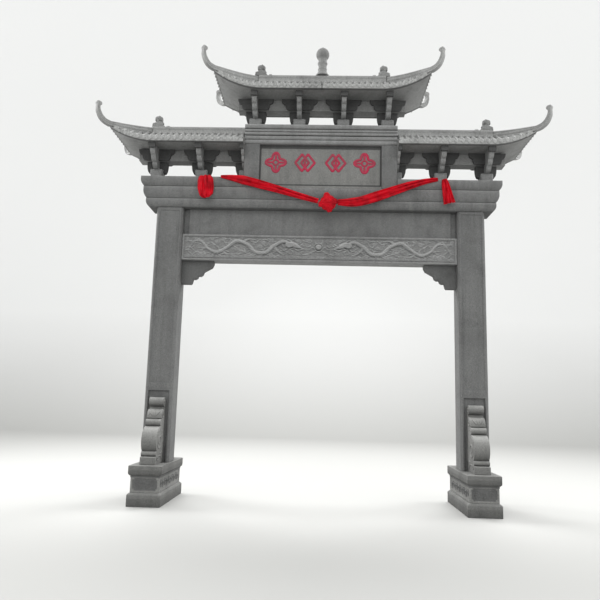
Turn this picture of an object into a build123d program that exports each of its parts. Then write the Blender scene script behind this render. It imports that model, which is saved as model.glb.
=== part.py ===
"""A stone gateway with one bay: two pillars on stepped bases, a carved lintel, a moulded beam,
a raised name block and three hip roofs on bracket sets. Millimetres, Z up, front towards -Y.
The origin is on the ground, in the middle of the passage."""
import os
from math import asin, cos, hypot, pi, radians, sin, sqrt

from build123d import *

os.makedirs("parts", exist_ok=True)

SIDES = {"left": -1, "right": 1}
FACES = {"front": -1, "back": 1}

# Passage and pillars
clear_span = 4600
pillar_width = 450
pillar_depth = 390
pillar_height = 4200
pillar_chamfer = 32
panel_border = 50
panel_sink = 12
niche_height = 1130
niche_sink = 40
niche_band = 120

# Stepped base under each pillar
plinth_width = 515
plinth_depth = 1420
plinth_height = 200
die_width = 440
die_depth = 1350
die_height = 245
die_border = 32
die_notch = 22
cap_width = 508
cap_depth = 1430
cap_height = 155
base_edge = 28

# Scroll stones before and behind each pillar
scroll_width = 235
scroll_foot_reach = 610
scroll_foot_height = 100
scroll_step_reach = 570
scroll_step_height = 80
scroll_belly_reach = 600
scroll_belly_height = 350
scroll_neck_reach = 405
scroll_neck_height = 110
scroll_neck_lip = 20
scroll_shoulder_reach = 385
scroll_shoulder_height = 190
scroll_shoulder_top_reach = 290
scroll_curl_radius = 68
scroll_curl_sides = 16
scroll_curl_reach = 232
scroll_height = 1020

# Lintel between the pillars
lintel_height = 445
lintel_depth = 280
lintel_panel_depth = 180
lintel_stile_width = 90
lintel_stile_sink = 30
lintel_rim = 34
lintel_relief_sink = 26
lintel_panel_height = 445
bracket_reach = 540
bracket_drop = 400
bracket_toe_share = 0.31
bracket_thickness = 110
bracket_scallops = ((1, 0.12), (0.95, 0.27), (0.7, 0.46), (0.67, 0.58), (0.6, 0.65), (0.53, 0.64),
                     (0.5, 0.74), (0.43, 0.79), (0.37, 0.78), (0.34, 0.94))

# Moulded beam on the pillars, in three courses
beam_end_overhang = 130
beam_depth = 400
course_step = 10
lower_course_height = 140
middle_course_height = 197
upper_course_height = 163
course_overhang = 52
course_lip_share = 0.28

# Raised block in the middle
block_half_width = 1290
post_width = 260
post_depth = 600
name_panel_depth = 490
name_sill_height = 233
name_sill_proud = 40
post_height = 763
cornice_bands = (150, 112, 88)
cornice_overhangs = (12, 28, 46)

# Bracket sets under the eaves
set_height = 550
set_base = 155
set_block_width = 215
set_block_height = 200
set_block_flare = 120
set_arm_half = 178
set_middle_half = 245
set_top_half = 310
set_arm_seat = 45
set_cross_lean = 28
set_plate_thickness = 40
set_arm_width = 85
set_middle_out = 215
set_top_out = 350
set_arm_reach = 470
set_tip_block = 120
set_tip_share = 0.16
center_set_inset = 142.5
side_set_inset = 50
side_set_share = 0.4935
eave_beam_depth = 210
eave_beam_height = 195

# Roofs
eave_reach = 540
side_eave_reach = 520
eave_flare = 66
eave_thickness = 60
corner_thickness = 30
corner_hip_inset = 14
center_flat_inset = 290
center_ridge_inset = 170
center_corner_overhang = 526
center_corner_lift = 257
center_roof_rise = 350
side_flat_inset = 80
side_ridge_overhang = 70
side_corner_overhang = 635
side_corner_lift = 200
side_roof_rise = 310
ridge_seat = 100
slope_sag = 26
ridge_height = 150
ridge_foot_height = 34
ridge_foot_width = 180
ridge_waist = 124
ridge_cap_width = 164
ridge_cap_height = 52
hip_width = 78
hip_middle_height = 54
horn_thickness = 64
horn_reach = 265
horn_rise = 375
horn_curl_radius = 40
roof_stations = 5
slope_courses = 4
horn_facets = 6

# Ornaments
beast_length = 250
beast_height = 215
beast_thickness = 110
center_beast_overhang = 80
side_beast_overhang = 30
finial_height = 580
finial_foot_radius = 150
finial_neck_radius = 74
finial_ring_radius = 90
finial_ring_half = 24
finial_pearl_radius = 118
finial_point_height = 34
finial_courses = 7
finial_sides = 20

# Cloth on the front
cloth_gap = 0.3
cloth_thickness = 55
swag_width = 125
flower_radius = 140
flower_sides = 16
flower_place = 142
flower_drop = 440
left_swag_start = -1580
left_tail_place = -1912
left_tail_width = 276
left_tail_drop = 385
right_swag_start = 1960
right_tail_place = 2140
right_tail_width = 210
right_tail_drop = 450

# Levels worked out from the sizes above
base_height = plinth_height + die_height + cap_height
pillar_x = (clear_span + pillar_width) / 2
pillar_top = base_height + pillar_height
lintel_underside = pillar_top - lintel_panel_height - lintel_height
beam_half_length = pillar_x + pillar_width / 2 + beam_end_overhang
middle_course_low = pillar_top + lower_course_height
upper_course_low = middle_course_low + middle_course_height
course_top = upper_course_low + upper_course_height
block_low = upper_course_low
cornice_low = block_low + post_height
cornice_top = cornice_low + sum(cornice_bands)
center_soffit = cornice_top + set_height
side_soffit = course_top + set_height

# Places along the gateway worked out from the sizes above
center_set_spacing = 2 * (block_half_width - center_set_inset) / 3
side_set_outer = beam_half_length - side_set_inset
side_set_inner = block_half_width + side_set_share * (side_set_outer - block_half_width)
center_flat_half = block_half_width - center_flat_inset
center_ridge_half = block_half_width - center_ridge_inset
center_corner = block_half_width + center_corner_overhang
side_flat_end = beam_half_length - side_flat_inset
side_ridge_end = beam_half_length + side_ridge_overhang
side_corner = beam_half_length + side_corner_overhang


def slab(width, depth, low, height, x=0, y=0):
    """Add an upright block, centred on (x, y), to the part that is being built."""
    with BuildSketch(Plane.XY.offset(low)) as outline:
        with Locations((x, y)):
            Rectangle(width, depth)
    return extrude(outline.sketch, amount=height)


def faceted(rings):
    """Add a solid with flat facets between rings of points, and a flat face at each end."""
    skin = [Face(Wire.make_polygon(rings[0])), Face(Wire.make_polygon(rings[-1]))]
    for first, second in zip(rings, rings[1:]):
        for a, b, c, d in zip(first[-1:] + first, first, second, second[-1:] + second):
            skin += [Face(Wire.make_polygon([a, b, c])), Face(Wire.make_polygon([a, c, d]))]
    add(Solid(Shell(skin)))


def level_ring(radius, level, sides, x=0):
    """A level ring of points about the upright line through x, with a flat side to the front."""
    turns = [2 * pi * (index + 0.5) / sides for index in range(sides)]
    return [(x + radius * cos(turn), radius * sin(turn), level) for turn in turns]


def facets(start, middle, end):
    """Points along a smooth curve through three points, for an outline made of short straight lines."""
    points = []
    for index in range(horn_facets + 1):
        t = index / horn_facets
        shares = ((1 - t) * (1 - 2 * t), 4 * t * (1 - t), t * (2 * t - 1))
        ends = list(zip(shares, (start, middle, end)))
        points.append(tuple(sum(share * point[axis] for share, point in ends) for axis in (0, 1)))
    return points


def save(piece, name):
    """Name a finished piece and write its file."""
    piece.part.label = name
    export_step(piece.part, f"parts/{name}.step")


# Bases: a plinth, a die with sunk panels and a cap
def base_plinth(side):
    with BuildPart() as plinth:
        slab(plinth_width, plinth_depth, 0, plinth_height, side * pillar_x)
        chamfer(plinth.faces().sort_by(Axis.Z)[-1].edges(), base_edge)
    return plinth


def base_die(side):
    """The die has one sunk panel with notched corners on each of its four faces."""
    with BuildPart() as die:
        slab(die_width, die_depth, plinth_height, die_height, side * pillar_x)
        for normal, length in ((Axis.Y, die_width), (Axis.X, die_depth)):
            for end in (0, -1):
                face = die.faces().sort_by(normal)[end]
                plane = Plane(face.center(), x_dir=(0, 0, 1), z_dir=face.normal_at())
                with BuildSketch(plane):
                    Rectangle(die_height - 2 * die_border, length - 2 * die_border)
                    with GridLocations(die_height - 2 * die_border, length - 2 * die_border, 2, 2):
                        Rectangle(die_notch * 2, die_notch * 2, mode=Mode.SUBTRACT)
                extrude(amount=-panel_sink, mode=Mode.SUBTRACT)
    return die


def base_cap(side):
    with BuildPart() as cap:
        slab(cap_width, cap_depth, plinth_height + die_height, cap_height, side * pillar_x)
        chamfer(cap.faces().sort_by(Axis.Z)[0].edges(), base_edge)
        fillet(cap.faces().sort_by(Axis.Z)[-1].edges(), base_edge / 2)
    return cap


# Pillars: chamfered shafts with a sunk panel over a deeper niche, front and back
def pillar(side):
    with BuildPart() as shaft:
        slab(pillar_width, pillar_depth, base_height, pillar_height, side * pillar_x)
        chamfer(shaft.edges().filter_by(Axis.Z), pillar_chamfer)
        panel_width = pillar_width - 2 * pillar_chamfer - panel_border
        panel_low = base_height + niche_height + niche_band
        for face in FACES.values():
            origin = (side * pillar_x, face * pillar_depth / 2, 0)
            front = Plane(origin, x_dir=(1, 0, 0), z_dir=(0, face, 0))
            upward = front.to_local_coords(Vector(side * pillar_x, 0, 1)).Y
            with BuildSketch(front):
                with Locations((0, upward * (base_height + niche_height / 2))):
                    Rectangle(panel_width, niche_height)
            extrude(amount=-niche_sink, mode=Mode.SUBTRACT)
            with BuildSketch(front):
                panel_top = pillar_top - panel_border
                with Locations((0, upward * (panel_low + panel_top) / 2)):
                    Rectangle(panel_width, panel_top - panel_low)
            extrude(amount=-panel_sink, mode=Mode.SUBTRACT)
    return shaft


# Scroll stones: one outline of foot, belly, neck, shoulder and curl, carried across the width
def scroll_stone(side, face):
    seat = pillar_depth / 2 - niche_sink
    step_low = base_height + scroll_foot_height
    belly_low = step_low + scroll_step_height
    belly_top = belly_low + scroll_belly_height
    neck_top = belly_top + scroll_neck_height
    shoulder_top = neck_top + scroll_shoulder_height
    curl_center = base_height + scroll_height - scroll_curl_radius
    neck_inner = scroll_neck_reach - scroll_neck_lip
    neck_outer = scroll_neck_reach + scroll_neck_lip
    with BuildPart() as stone:
        with BuildSketch(Plane.YZ.offset(side * pillar_x)) as outline:
            with BuildLine():
                Line((seat, base_height), (scroll_foot_reach, base_height))
                Line((scroll_foot_reach, base_height), (scroll_foot_reach, step_low))
                Line((scroll_foot_reach, step_low), (scroll_step_reach, step_low))
                Line((scroll_step_reach, step_low), (scroll_step_reach, belly_low))
                belly_mid = (scroll_belly_reach, belly_low + 0.36 * scroll_belly_height)
                ThreePointArc((scroll_step_reach, belly_low), belly_mid, (neck_outer, belly_top))
                Line((neck_outer, belly_top), (neck_inner, belly_top))
                neck_mid = (scroll_neck_reach + 6, (belly_top + neck_top) / 2)
                ThreePointArc((neck_inner, belly_top), neck_mid, (neck_inner, neck_top))
                Line((neck_inner, neck_top), (scroll_shoulder_reach - 10, neck_top))
                shoulder_mid = (scroll_shoulder_reach - 12, neck_top + 0.5 * scroll_shoulder_height)
                shoulder_end = (scroll_shoulder_top_reach, shoulder_top)
                ThreePointArc((scroll_shoulder_reach - 10, neck_top), shoulder_mid, shoulder_end)
                Line(shoulder_end, (scroll_curl_reach, shoulder_top))
                Line((scroll_curl_reach, shoulder_top), (scroll_curl_reach, curl_center))
                Line((scroll_curl_reach, curl_center), (seat, curl_center))
                Line((seat, curl_center), (seat, base_height))
            make_face()
            with Locations((scroll_curl_reach, curl_center)):
                RegularPolygon(scroll_curl_radius, scroll_curl_sides)
            with Locations((seat - scroll_curl_radius, curl_center)):
                Rectangle(2 * scroll_curl_radius, 4 * scroll_curl_radius, mode=Mode.SUBTRACT)
        extrude(amount=scroll_width / 2, both=True)
    if face > 0:
        return stone
    with BuildPart() as turned:
        mirror(stone.part, about=Plane.XZ)
    return turned


# Lintel: a carved beam, a panel over it and two scalloped corner brackets
def carved_lintel():
    with BuildPart() as lintel:
        slab(clear_span, lintel_depth, lintel_underside, lintel_height)
        for face in FACES.values():
            front = Plane.XZ.offset(-face * lintel_depth / 2)
            with BuildSketch(front):
                with Locations((0, lintel_underside + lintel_height / 2)):
                    Rectangle(clear_span - 2 * lintel_rim, lintel_height - 2 * lintel_rim)
            extrude(amount=face * lintel_relief_sink, mode=Mode.SUBTRACT)
    return lintel


def lintel_panel():
    low = lintel_underside + lintel_height
    height = pillar_top - low
    with BuildPart() as panel:
        slab(clear_span, lintel_panel_depth - 2 * lintel_stile_sink, low, height)
        slab(clear_span - 2 * lintel_stile_width, lintel_panel_depth, low, height)
    return panel


def corner_bracket(side):
    """A scalloped bracket: a long hollow under the lintel, then small lobes down to a square toe."""
    wall = side * clear_span / 2
    low = lintel_underside - bracket_drop
    steps = [(wall - side * reach * bracket_reach, lintel_underside - drop * bracket_drop)
             for reach, drop in bracket_scallops]
    with BuildPart() as bracket:
        with BuildSketch(Plane.XZ):
            with BuildLine():
                tip = wall - side * bracket_reach
                toe = wall - side * bracket_toe_share * bracket_reach
                square = [(toe, low), (wall, low), (wall, lintel_underside), (tip, lintel_underside)]
                Polyline(*square, *steps, close=True)
            make_face()
        extrude(amount=bracket_thickness / 2, both=True)
    return bracket


# Beam courses: a rounded moulding, the same on all four sides
def course_outline(plane, half, low, height):
    """The end view of a course: its sides round outwards to a plain lip at the top."""
    round_top = low + height * (1 - course_lip_share)
    wide = half + course_overhang
    middle = (half + 0.74 * course_overhang, low + 0.42 * (round_top - low))
    with BuildSketch(plane) as outline:
        with BuildLine():
            Line((-half, low), (half, low))
            ThreePointArc((half, low), middle, (wide, round_top))
            Polyline((wide, round_top), (wide, low + height), (-wide, low + height), (-wide, round_top))
            ThreePointArc((-wide, round_top), (-middle[0], middle[1]), (-half, low))
        make_face()
    return outline.sketch


def course(level, low, height):
    """One full course; each one starts a little inside the lip of the one below it."""
    growth = level * (course_overhang - course_step)
    half_length = beam_half_length + growth
    half_depth = beam_depth / 2 + growth
    with BuildPart() as moulding:
        front = course_outline(Plane.XZ, half_length, low, height)
        extrude(front, amount=half_depth + course_overhang, both=True)
        side = course_outline(Plane.YZ, half_depth, low, height)
        extrude(side, amount=half_length + course_overhang, both=True, mode=Mode.INTERSECT)
    return moulding


def upper_course(side):
    """The top course stands only beside the raised block."""
    whole = course(2, upper_course_low, upper_course_height)
    outer = 2 * beam_half_length
    length = outer - block_half_width
    with BuildPart() as piece:
        add(whole.part)
        middle = side * (block_half_width + length / 2)
        slab_part = Box(length, 4 * beam_depth, 4 * upper_course_height, mode=Mode.PRIVATE)
        add(Pos(middle, 0, upper_course_low) * slab_part, mode=Mode.INTERSECT)
    return piece


# Raised block: two posts, a sunk panel with a sill, and a cornice of three bands
def block_post(side):
    with BuildPart() as post:
        slab(post_width, post_depth, block_low, post_height, side * (block_half_width - post_width / 2))
    return post


def name_panel():
    width = 2 * (block_half_width - post_width)
    with BuildPart() as panel:
        slab(width, name_panel_depth, block_low, post_height)
        slab(width, name_panel_depth + 2 * name_sill_proud, block_low, name_sill_height)
    return panel


def cornice():
    low = cornice_low
    with BuildPart() as bands:
        for height, overhang in zip(cornice_bands, cornice_overhangs):
            slab(2 * block_half_width, post_depth + 2 * overhang, low, height)
            low += height
    return bands


# Bracket sets: a flared block, a cross arm, longer plates beside the eave beam, and a stepped arm
def cross_arm(x, out, low, half, height, thickness):
    """A cross arm along X, at out from the middle plane, with steep ends that lean in to the foot."""
    end = [(0, 1), (0.2 * set_cross_lean, 0.45), (set_cross_lean, 0)]
    right = [(x + half - lean, low + up * height) for lean, up in end]
    left = [(x - half + lean, low + up * height) for lean, up in reversed(end)]
    with BuildSketch(Plane.XZ.offset(-out)) as outline:
        with BuildLine():
            Polyline(*right, *left, close=True)
        make_face()
    extrude(outline.sketch, amount=thickness / 2, both=True)


def stepped_arm(x, low):
    """The arm that carries the eave: it steps out and up from the block, front and back."""
    top = low + set_height
    first = low + set_block_height
    nose = top - set_tip_share * set_height
    rise = (nose - first) / 3
    out = eave_beam_depth / 2
    steps = [(out, first),
             (out + 0.6 * (set_middle_out - out), first + 0.2 * rise),
             (set_middle_out, first + rise),
             (set_middle_out + 0.6 * (set_top_out - set_middle_out), first + 1.2 * rise),
             (set_top_out, first + 2 * rise),
             (set_top_out + 0.7 * (set_arm_reach - set_top_out), first + 2.3 * rise),
             (set_arm_reach, nose),
             (set_arm_reach, top)]
    with BuildSketch(Plane.YZ.offset(x)) as outline:
        with BuildLine():
            Polyline(*steps, *[(-y, z) for y, z in reversed(steps)], close=True)
        make_face()
    extrude(outline.sketch, amount=set_arm_width / 2, both=True)


def add_set(x, low):
    """Add one whole set at x on the level low to the part that is being built."""
    top = low + set_height
    slab(set_block_width, set_block_width, low + set_block_flare, set_block_height - set_block_flare, x)
    flare = [(set_base, low), (set_block_width, low + set_block_flare)]
    faceted([level_ring(width / sqrt(2), level, 4, x) for width, level in flare])
    arm_low = low + set_block_height - set_arm_seat
    beam_low = top - eave_beam_height
    cross_arm(x, 0, arm_low, set_arm_half, beam_low - arm_low, eave_beam_depth + 2 * set_plate_thickness)
    stepped_arm(x, low)
    plate_height = eave_beam_height / 2
    plate_out = (eave_beam_depth + set_plate_thickness) / 2
    tip_height = set_tip_share * set_height
    for face in FACES.values():
        cross_arm(x, face * plate_out, beam_low, set_middle_half, plate_height, set_plate_thickness)
        cross_arm(x, face * plate_out, top - plate_height, set_top_half, plate_height, set_plate_thickness)
        tip_place = face * (set_arm_reach - set_tip_block / 4)
        slab(set_tip_block, set_tip_block / 2, top - tip_height, tip_height, x, tip_place)


def bracket_sets(places, low, wall=None):
    """A row of sets; a set at a wall is cut off flush with it."""
    with BuildPart() as row:
        for x in places:
            add_set(x, low)
        if wall is not None:
            length = 2 * beam_half_length
            keep = Box(length, 4 * set_height, 4 * set_height, mode=Mode.PRIVATE)
            add(Pos(wall + (length / 2 if wall > 0 else -length / 2), 0, low) * keep, mode=Mode.INTERSECT)
    return row


def eave_beam(places, start, end, top):
    """A beam under the eave in lengths that fit between the stepped arms of the sets."""
    stops = [start]
    for place in places:
        stops += [place - set_arm_width / 2, place + set_arm_width / 2]
    stops.append(end)
    with BuildPart() as beam:
        for left, right in zip(stops[::2], stops[1::2]):
            if right - left > 1:
                middle = (left + right) / 2
                slab(right - left, eave_beam_depth, top - eave_beam_height, eave_beam_height, middle)
    return beam


# Roofs: hip roofs whose ends sweep up to the corners
class Roof:
    """Sizes of one roof end, measured along +X from the middle of the gateway."""

    def __init__(self, soffit, reach, rise, flat_end, ridge_end, corner, lift):
        self.soffit = soffit
        self.reach = reach
        self.rise = rise
        self.flat_end = flat_end
        self.ridge_end = ridge_end
        self.corner = corner
        self.lift = lift
        self.corner_reach = reach + eave_flare
        self.ridge_low = soffit + rise
        self.run = corner - flat_end
        self.sweep_radius = (self.run ** 2 + lift ** 2) / (2 * lift)
        reach, under, edge = self.eave(ridge_end)
        self.fall = (self.ridge_low - edge) / (reach - ridge_seat)

    def share(self, x):
        return max(0.0, (x - self.flat_end) / self.run)

    def eave(self, x):
        """Reach, underside and top edge of the eave at x."""
        along = max(0.0, x - self.flat_end)
        under = self.soffit + self.sweep_radius - sqrt(self.sweep_radius ** 2 - along ** 2)
        edge = eave_thickness + (corner_thickness - eave_thickness) * self.share(x)
        return self.reach + eave_flare * self.share(x) ** 2, under, under + edge

    def hip(self, x):
        """Distance of the hip line from the middle plane at x, and its height. Past the ridge's end the
        slope keeps its pitch, so that the faces between two cross sections stay flat."""
        past = (x - self.ridge_end) / (self.corner - self.ridge_end)
        if past <= 0:
            return ridge_seat, self.ridge_low
        reach, under, edge = self.eave(x)
        out = max(ridge_seat, past * (self.corner_reach - corner_hip_inset))
        return out, edge + self.fall * (reach - out)


def roof_section(roof, x):
    """A cross section at x: flat below, upright edges, hollow slopes and a flat top."""
    reach, under, edge = roof.eave(x)
    out, top = roof.hip(x)
    sag = slope_sag * min(1.0, (reach - out) / roof.reach)
    shares = [index / slope_courses for index in range(slope_courses + 1)]
    slope = [(reach + (out - reach) * t, edge + (top - edge) * t - 4 * sag * t * (1 - t)) for t in shares]
    half = [(reach, under)] + slope
    return [(x, y, z) for y, z in half] + [(x, -y, z) for y, z in reversed(half)]


def roof_end(roof, inner):
    """One end of a roof: a straight run from inner to the flat end, then the swept end."""
    with BuildPart() as body:
        swept = roof.corner - roof.ridge_end
        steps = [inner, roof.flat_end]
        steps += [roof.ridge_end + swept * index / roof_stations for index in range(roof_stations + 1)]
        faceted([roof_section(roof, x) for x in steps])
    return body


def hip_pair(roof, body):
    """Two hips with upturned horns, front and back, joined where they leave the ridge."""
    run = roof.corner - roof.ridge_end
    length = hypot(run, roof.corner_reach)
    corner_low = roof.soffit + roof.lift
    ridge_top = roof.ridge_low + ridge_height
    knob_middle = length + horn_reach - 0.4 * horn_curl_radius
    with BuildPart() as hips:
        for face in FACES.values():
            across = face * roof.corner_reach / length
            turned = Plane((roof.ridge_end, 0, 0), x_dir=(run / length, across, 0),
                           z_dir=(across, -run / length, 0))
            up = 1 if turned.y_dir.Z > 0 else -1
            knob = [(knob_middle + horn_curl_radius * cos(radians(turn)),
                     horn_rise + horn_curl_radius * sin(radians(turn))) for turn in (0, 45, 90, 135)]
            low = facets((length, 0), (length + 0.78 * horn_reach, 0.24 * horn_rise),
                         (length + 1.04 * horn_reach, 0.62 * horn_rise))
            high = facets((knob_middle - horn_curl_radius, horn_rise),
                          (length + 0.72 * horn_reach, 0.46 * horn_rise), (length, horn_thickness))
            hip = facets(high[-1], (0.42 * length, roof.ridge_low - corner_low + hip_middle_height),
                         (0, ridge_top - corner_low))
            outer = low + knob + high + hip[1:] + [(0, 0)]
            with BuildSketch(turned):
                with BuildLine():
                    Polyline(*[(s, up * (corner_low + z)) for s, z in outer], close=True)
                make_face()
            extrude(amount=hip_width / 2, both=True)
        keep = Box(2 * length + 2 * horn_reach, 4 * roof.reach, 4 * roof.reach, mode=Mode.PRIVATE)
        shift = roof.ridge_end + length + horn_reach
        add(Pos(shift, 0, roof.soffit) * keep, mode=Mode.INTERSECT)
        add(body.part, mode=Mode.SUBTRACT)
    return hips


def ridge(start, end, low):
    """A moulded ridge: a broad foot, a waist and a rounded cap."""
    with BuildPart() as bar:
        cap_low = low + ridge_height - ridge_cap_height
        with BuildSketch(Plane.YZ.offset(start)):
            with Locations((0, low + ridge_foot_height / 2)):
                Rectangle(ridge_foot_width, ridge_foot_height)
            with Locations((0, (low + cap_low) / 2)):
                Rectangle(ridge_waist, cap_low - low)
            with Locations((0, cap_low + ridge_cap_height / 2)):
                Rectangle(ridge_cap_width, ridge_cap_height)
        extrude(amount=end - start)
        fillet(bar.edges().filter_by(Axis.X).group_by(Axis.Z)[-1], ridge_cap_height / 3)
    return bar


def add_beast(x, low, facing):
    """Add a small seated beast on the ridge: a round head over a broad body, looking along the ridge."""
    def at(along, up):
        return (x + facing * along * beast_length, low + up * beast_height)

    with BuildSketch(Plane.XZ) as outline:
        with BuildLine():
            Polyline(at(-0.5, 0), at(-0.3, 0.09), at(-0.17, 0.2), at(-0.24, 0.61), at(-0.17, 0.91))
            Polyline(at(-0.17, 0.91), at(0, 1), at(0.2, 0.98), at(0.3, 0.7), at(0.22, 0.5))
            Polyline(at(0.22, 0.5), at(0.29, 0.41), at(0.4, 0.39), at(0.5, 0.2), at(0.5, 0), at(-0.5, 0))
        make_face()
    extrude(outline.sketch, amount=beast_thickness / 2, both=True)


def finial(low):
    """A many-sided finial: a spread foot, a neck with a ring, and a pearl with a point."""
    pearl = low + finial_height - finial_point_height - finial_pearl_radius
    foot_top = low + 0.2 * finial_height
    ring = low + 0.44 * finial_height
    first = asin(finial_neck_radius / finial_pearl_radius)
    turn = (radians(164) - first) / finial_courses
    turns = [first + turn * index for index in range(finial_courses + 1)]
    round_part = [(finial_pearl_radius * sin(t), pearl - finial_pearl_radius * cos(t)) for t in turns]
    foot = [(finial_foot_radius, low), (finial_foot_radius, low + 0.05 * finial_height),
            (0.66 * finial_foot_radius, low + 0.1 * finial_height), (finial_neck_radius, foot_top)]
    bead = [(finial_neck_radius, ring - finial_ring_half),
            (finial_ring_radius, ring - finial_ring_half / 3),
            (finial_ring_radius, ring + finial_ring_half / 3),
            (finial_neck_radius, ring + finial_ring_half)]
    point = [(0.1 * finial_neck_radius, low + finial_height)]
    levels = foot + bead + round_part + point
    with BuildPart() as turned:
        faceted([level_ring(radius, level, finial_sides) for radius, level in levels])
    return turned


# Cloth: two swags from the middle sets to a gathered flower, with a hanging tail at each side
cloth_front = beam_depth / 2 + 2 * (course_overhang - course_step) + course_overhang + cloth_gap


def cloth_band(upper, lower, thick):
    """Add a closed band between an upper and a lower curve, just before the front of the beam."""
    with BuildSketch(Plane.XZ.offset(cloth_front)) as outline:
        with BuildLine():
            Spline(*upper)
            Line(upper[-1], lower[-1])
            Spline(*lower)
            Line(lower[0], upper[0])
        make_face()
    extrude(outline.sketch, amount=thick)


def hung_cloth(side, swag_start, tail_place, tail_width, tail_drop):
    """A swag from the beam's top edge down to the flower, and a bunched tail beside it."""
    high = course_top
    low = course_top - flower_drop
    end = flower_place + side * (flower_radius + cloth_gap)
    run = swag_start - end
    knee = high - 0.44 * flower_drop
    belly = high - 0.8 * flower_drop
    half = tail_width / 2
    with BuildPart() as cloth:
        upper = [(swag_start - 0.1 * run, high), (end + 0.62 * run, knee + 0.5 * swag_width),
                 (end + 0.3 * run, belly + 0.5 * swag_width), (end, low + 0.32 * swag_width)]
        lower = [(swag_start, high - 0.1 * swag_width), (end + 0.62 * run, knee - 0.5 * swag_width),
                 (end + 0.3 * run, belly - 0.5 * swag_width), (end, low - 0.32 * swag_width)]
        cloth_band(upper, lower, cloth_thickness)
        left = [(tail_place - 0.8 * half, high), (tail_place - half, high - 0.5 * tail_drop),
                (tail_place - 0.5 * half, high - tail_drop)]
        right = [(2 * tail_place - x, z) for x, z in left]
        cloth_band(left, right, 1.3 * cloth_thickness)
    return cloth


# Write the bases, pillars, scroll stones and corner brackets
for name, side in SIDES.items():
    save(base_plinth(side), f"base_plinth_{name}")
    save(base_die(side), f"base_die_{name}")
    save(base_cap(side), f"base_cap_{name}")
    save(pillar(side), f"pillar_{name}")
    save(corner_bracket(side), f"corner_bracket_{name}")
    for end, face in FACES.items():
        save(scroll_stone(side, face), f"scroll_stone_{end}_{name}")

save(carved_lintel(), "carved_lintel")
save(lintel_panel(), "lintel_panel")
save(course(0, pillar_top, lower_course_height), "beam_lower_course")
save(course(1, middle_course_low, middle_course_height), "beam_middle_course")
for name, side in SIDES.items():
    save(upper_course(side), f"beam_upper_course_{name}")
    save(block_post(side), f"block_post_{name}")
save(name_panel(), "name_panel")
save(cornice(), "cornice")

center_places = [center_set_spacing * (index - 1.5) for index in range(4)]
save(bracket_sets(center_places, cornice_top), "center_bracket_sets")
center_beam_end = center_places[-1] + set_top_half
save(eave_beam(center_places, -center_beam_end, center_beam_end, center_soffit), "center_eave_beam")

side_beam_end = side_set_outer + set_top_half
for name, side in SIDES.items():
    wall = side * block_half_width
    places = sorted((side * side_set_inner, side * side_set_outer))
    save(bracket_sets([wall] + places, course_top, wall), f"{name}_bracket_sets")
    ends = sorted((wall + side * set_arm_width / 2, side * side_beam_end))
    save(eave_beam(places, ends[0], ends[1], side_soffit), f"{name}_eave_beam")

center_roof = Roof(center_soffit, eave_reach, center_roof_rise, center_flat_half, center_ridge_half,
                   center_corner, center_corner_lift)
side_roof = Roof(side_soffit, side_eave_reach, side_roof_rise, side_flat_end, side_ridge_end,
                 side_corner, side_corner_lift)

center_end = roof_end(center_roof, 0)
center_hips = hip_pair(center_roof, center_end)
with BuildPart() as center_body:
    add(center_end.part)
    mirror(center_end.part, about=Plane.YZ)
save(center_body, "center_roof")
save(center_hips, "center_hips_right")
with BuildPart() as center_hips_left:
    mirror(center_hips.part, about=Plane.YZ)
save(center_hips_left, "center_hips_left")
save(ridge(-center_ridge_half, center_ridge_half, center_roof.ridge_low), "center_ridge")

side_body = roof_end(side_roof, block_half_width)
side_hips = hip_pair(side_roof, side_body)
save(side_body, "right_roof")
save(side_hips, "right_hips")
with BuildPart() as left_body:
    mirror(side_body.part, about=Plane.YZ)
save(left_body, "left_roof")
with BuildPart() as left_hips:
    mirror(side_hips.part, about=Plane.YZ)
save(left_hips, "left_hips")
for name, side in SIDES.items():
    ends = sorted((side * block_half_width, side * side_ridge_end))
    save(ridge(ends[0], ends[1], side_roof.ridge_low), f"{name}_ridge")
    with BuildPart() as beast:
        place = side * (side_ridge_end + side_beast_overhang - beast_length / 2)
        add_beast(place, side_roof.ridge_low + ridge_height, side)
    save(beast, f"{name}_ridge_beast")
with BuildPart() as center_beasts:
    for side in SIDES.values():
        place = side * (center_ridge_half + center_beast_overhang - beast_length / 2)
        add_beast(place, center_roof.ridge_low + ridge_height, side)
save(center_beasts, "center_ridge_beasts")
save(finial(center_roof.ridge_low + ridge_height), "finial")

# Write the cloth
save(hung_cloth(-1, left_swag_start, left_tail_place, left_tail_width, left_tail_drop), "cloth_left")
save(hung_cloth(1, right_swag_start, right_tail_place, right_tail_width, right_tail_drop), "cloth_right")
with BuildPart() as flower:
    with BuildSketch(Plane.XZ.offset(cloth_front)):
        with Locations((flower_place, course_top - flower_drop)):
            RegularPolygon(flower_radius, flower_sides)
    extrude(amount=flower_radius)
    chamfer(flower.faces().filter_by(Axis.Y).edges(), 0.35 * flower_radius)
save(flower, "cloth_flower")
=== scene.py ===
"""A stone gateway with one bay, dressed over its CAD solids: barrel-tiled hip roofs with horns, bracket
sets, moulded beam, carved lintel, scroll stones and red cloth. Metres, Z up, front towards -Y."""
from math import atan2, cos, hypot, pi, radians, sin

import bmesh
import bpy
import numpy as np
from mathutils import Matrix, Vector


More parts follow.
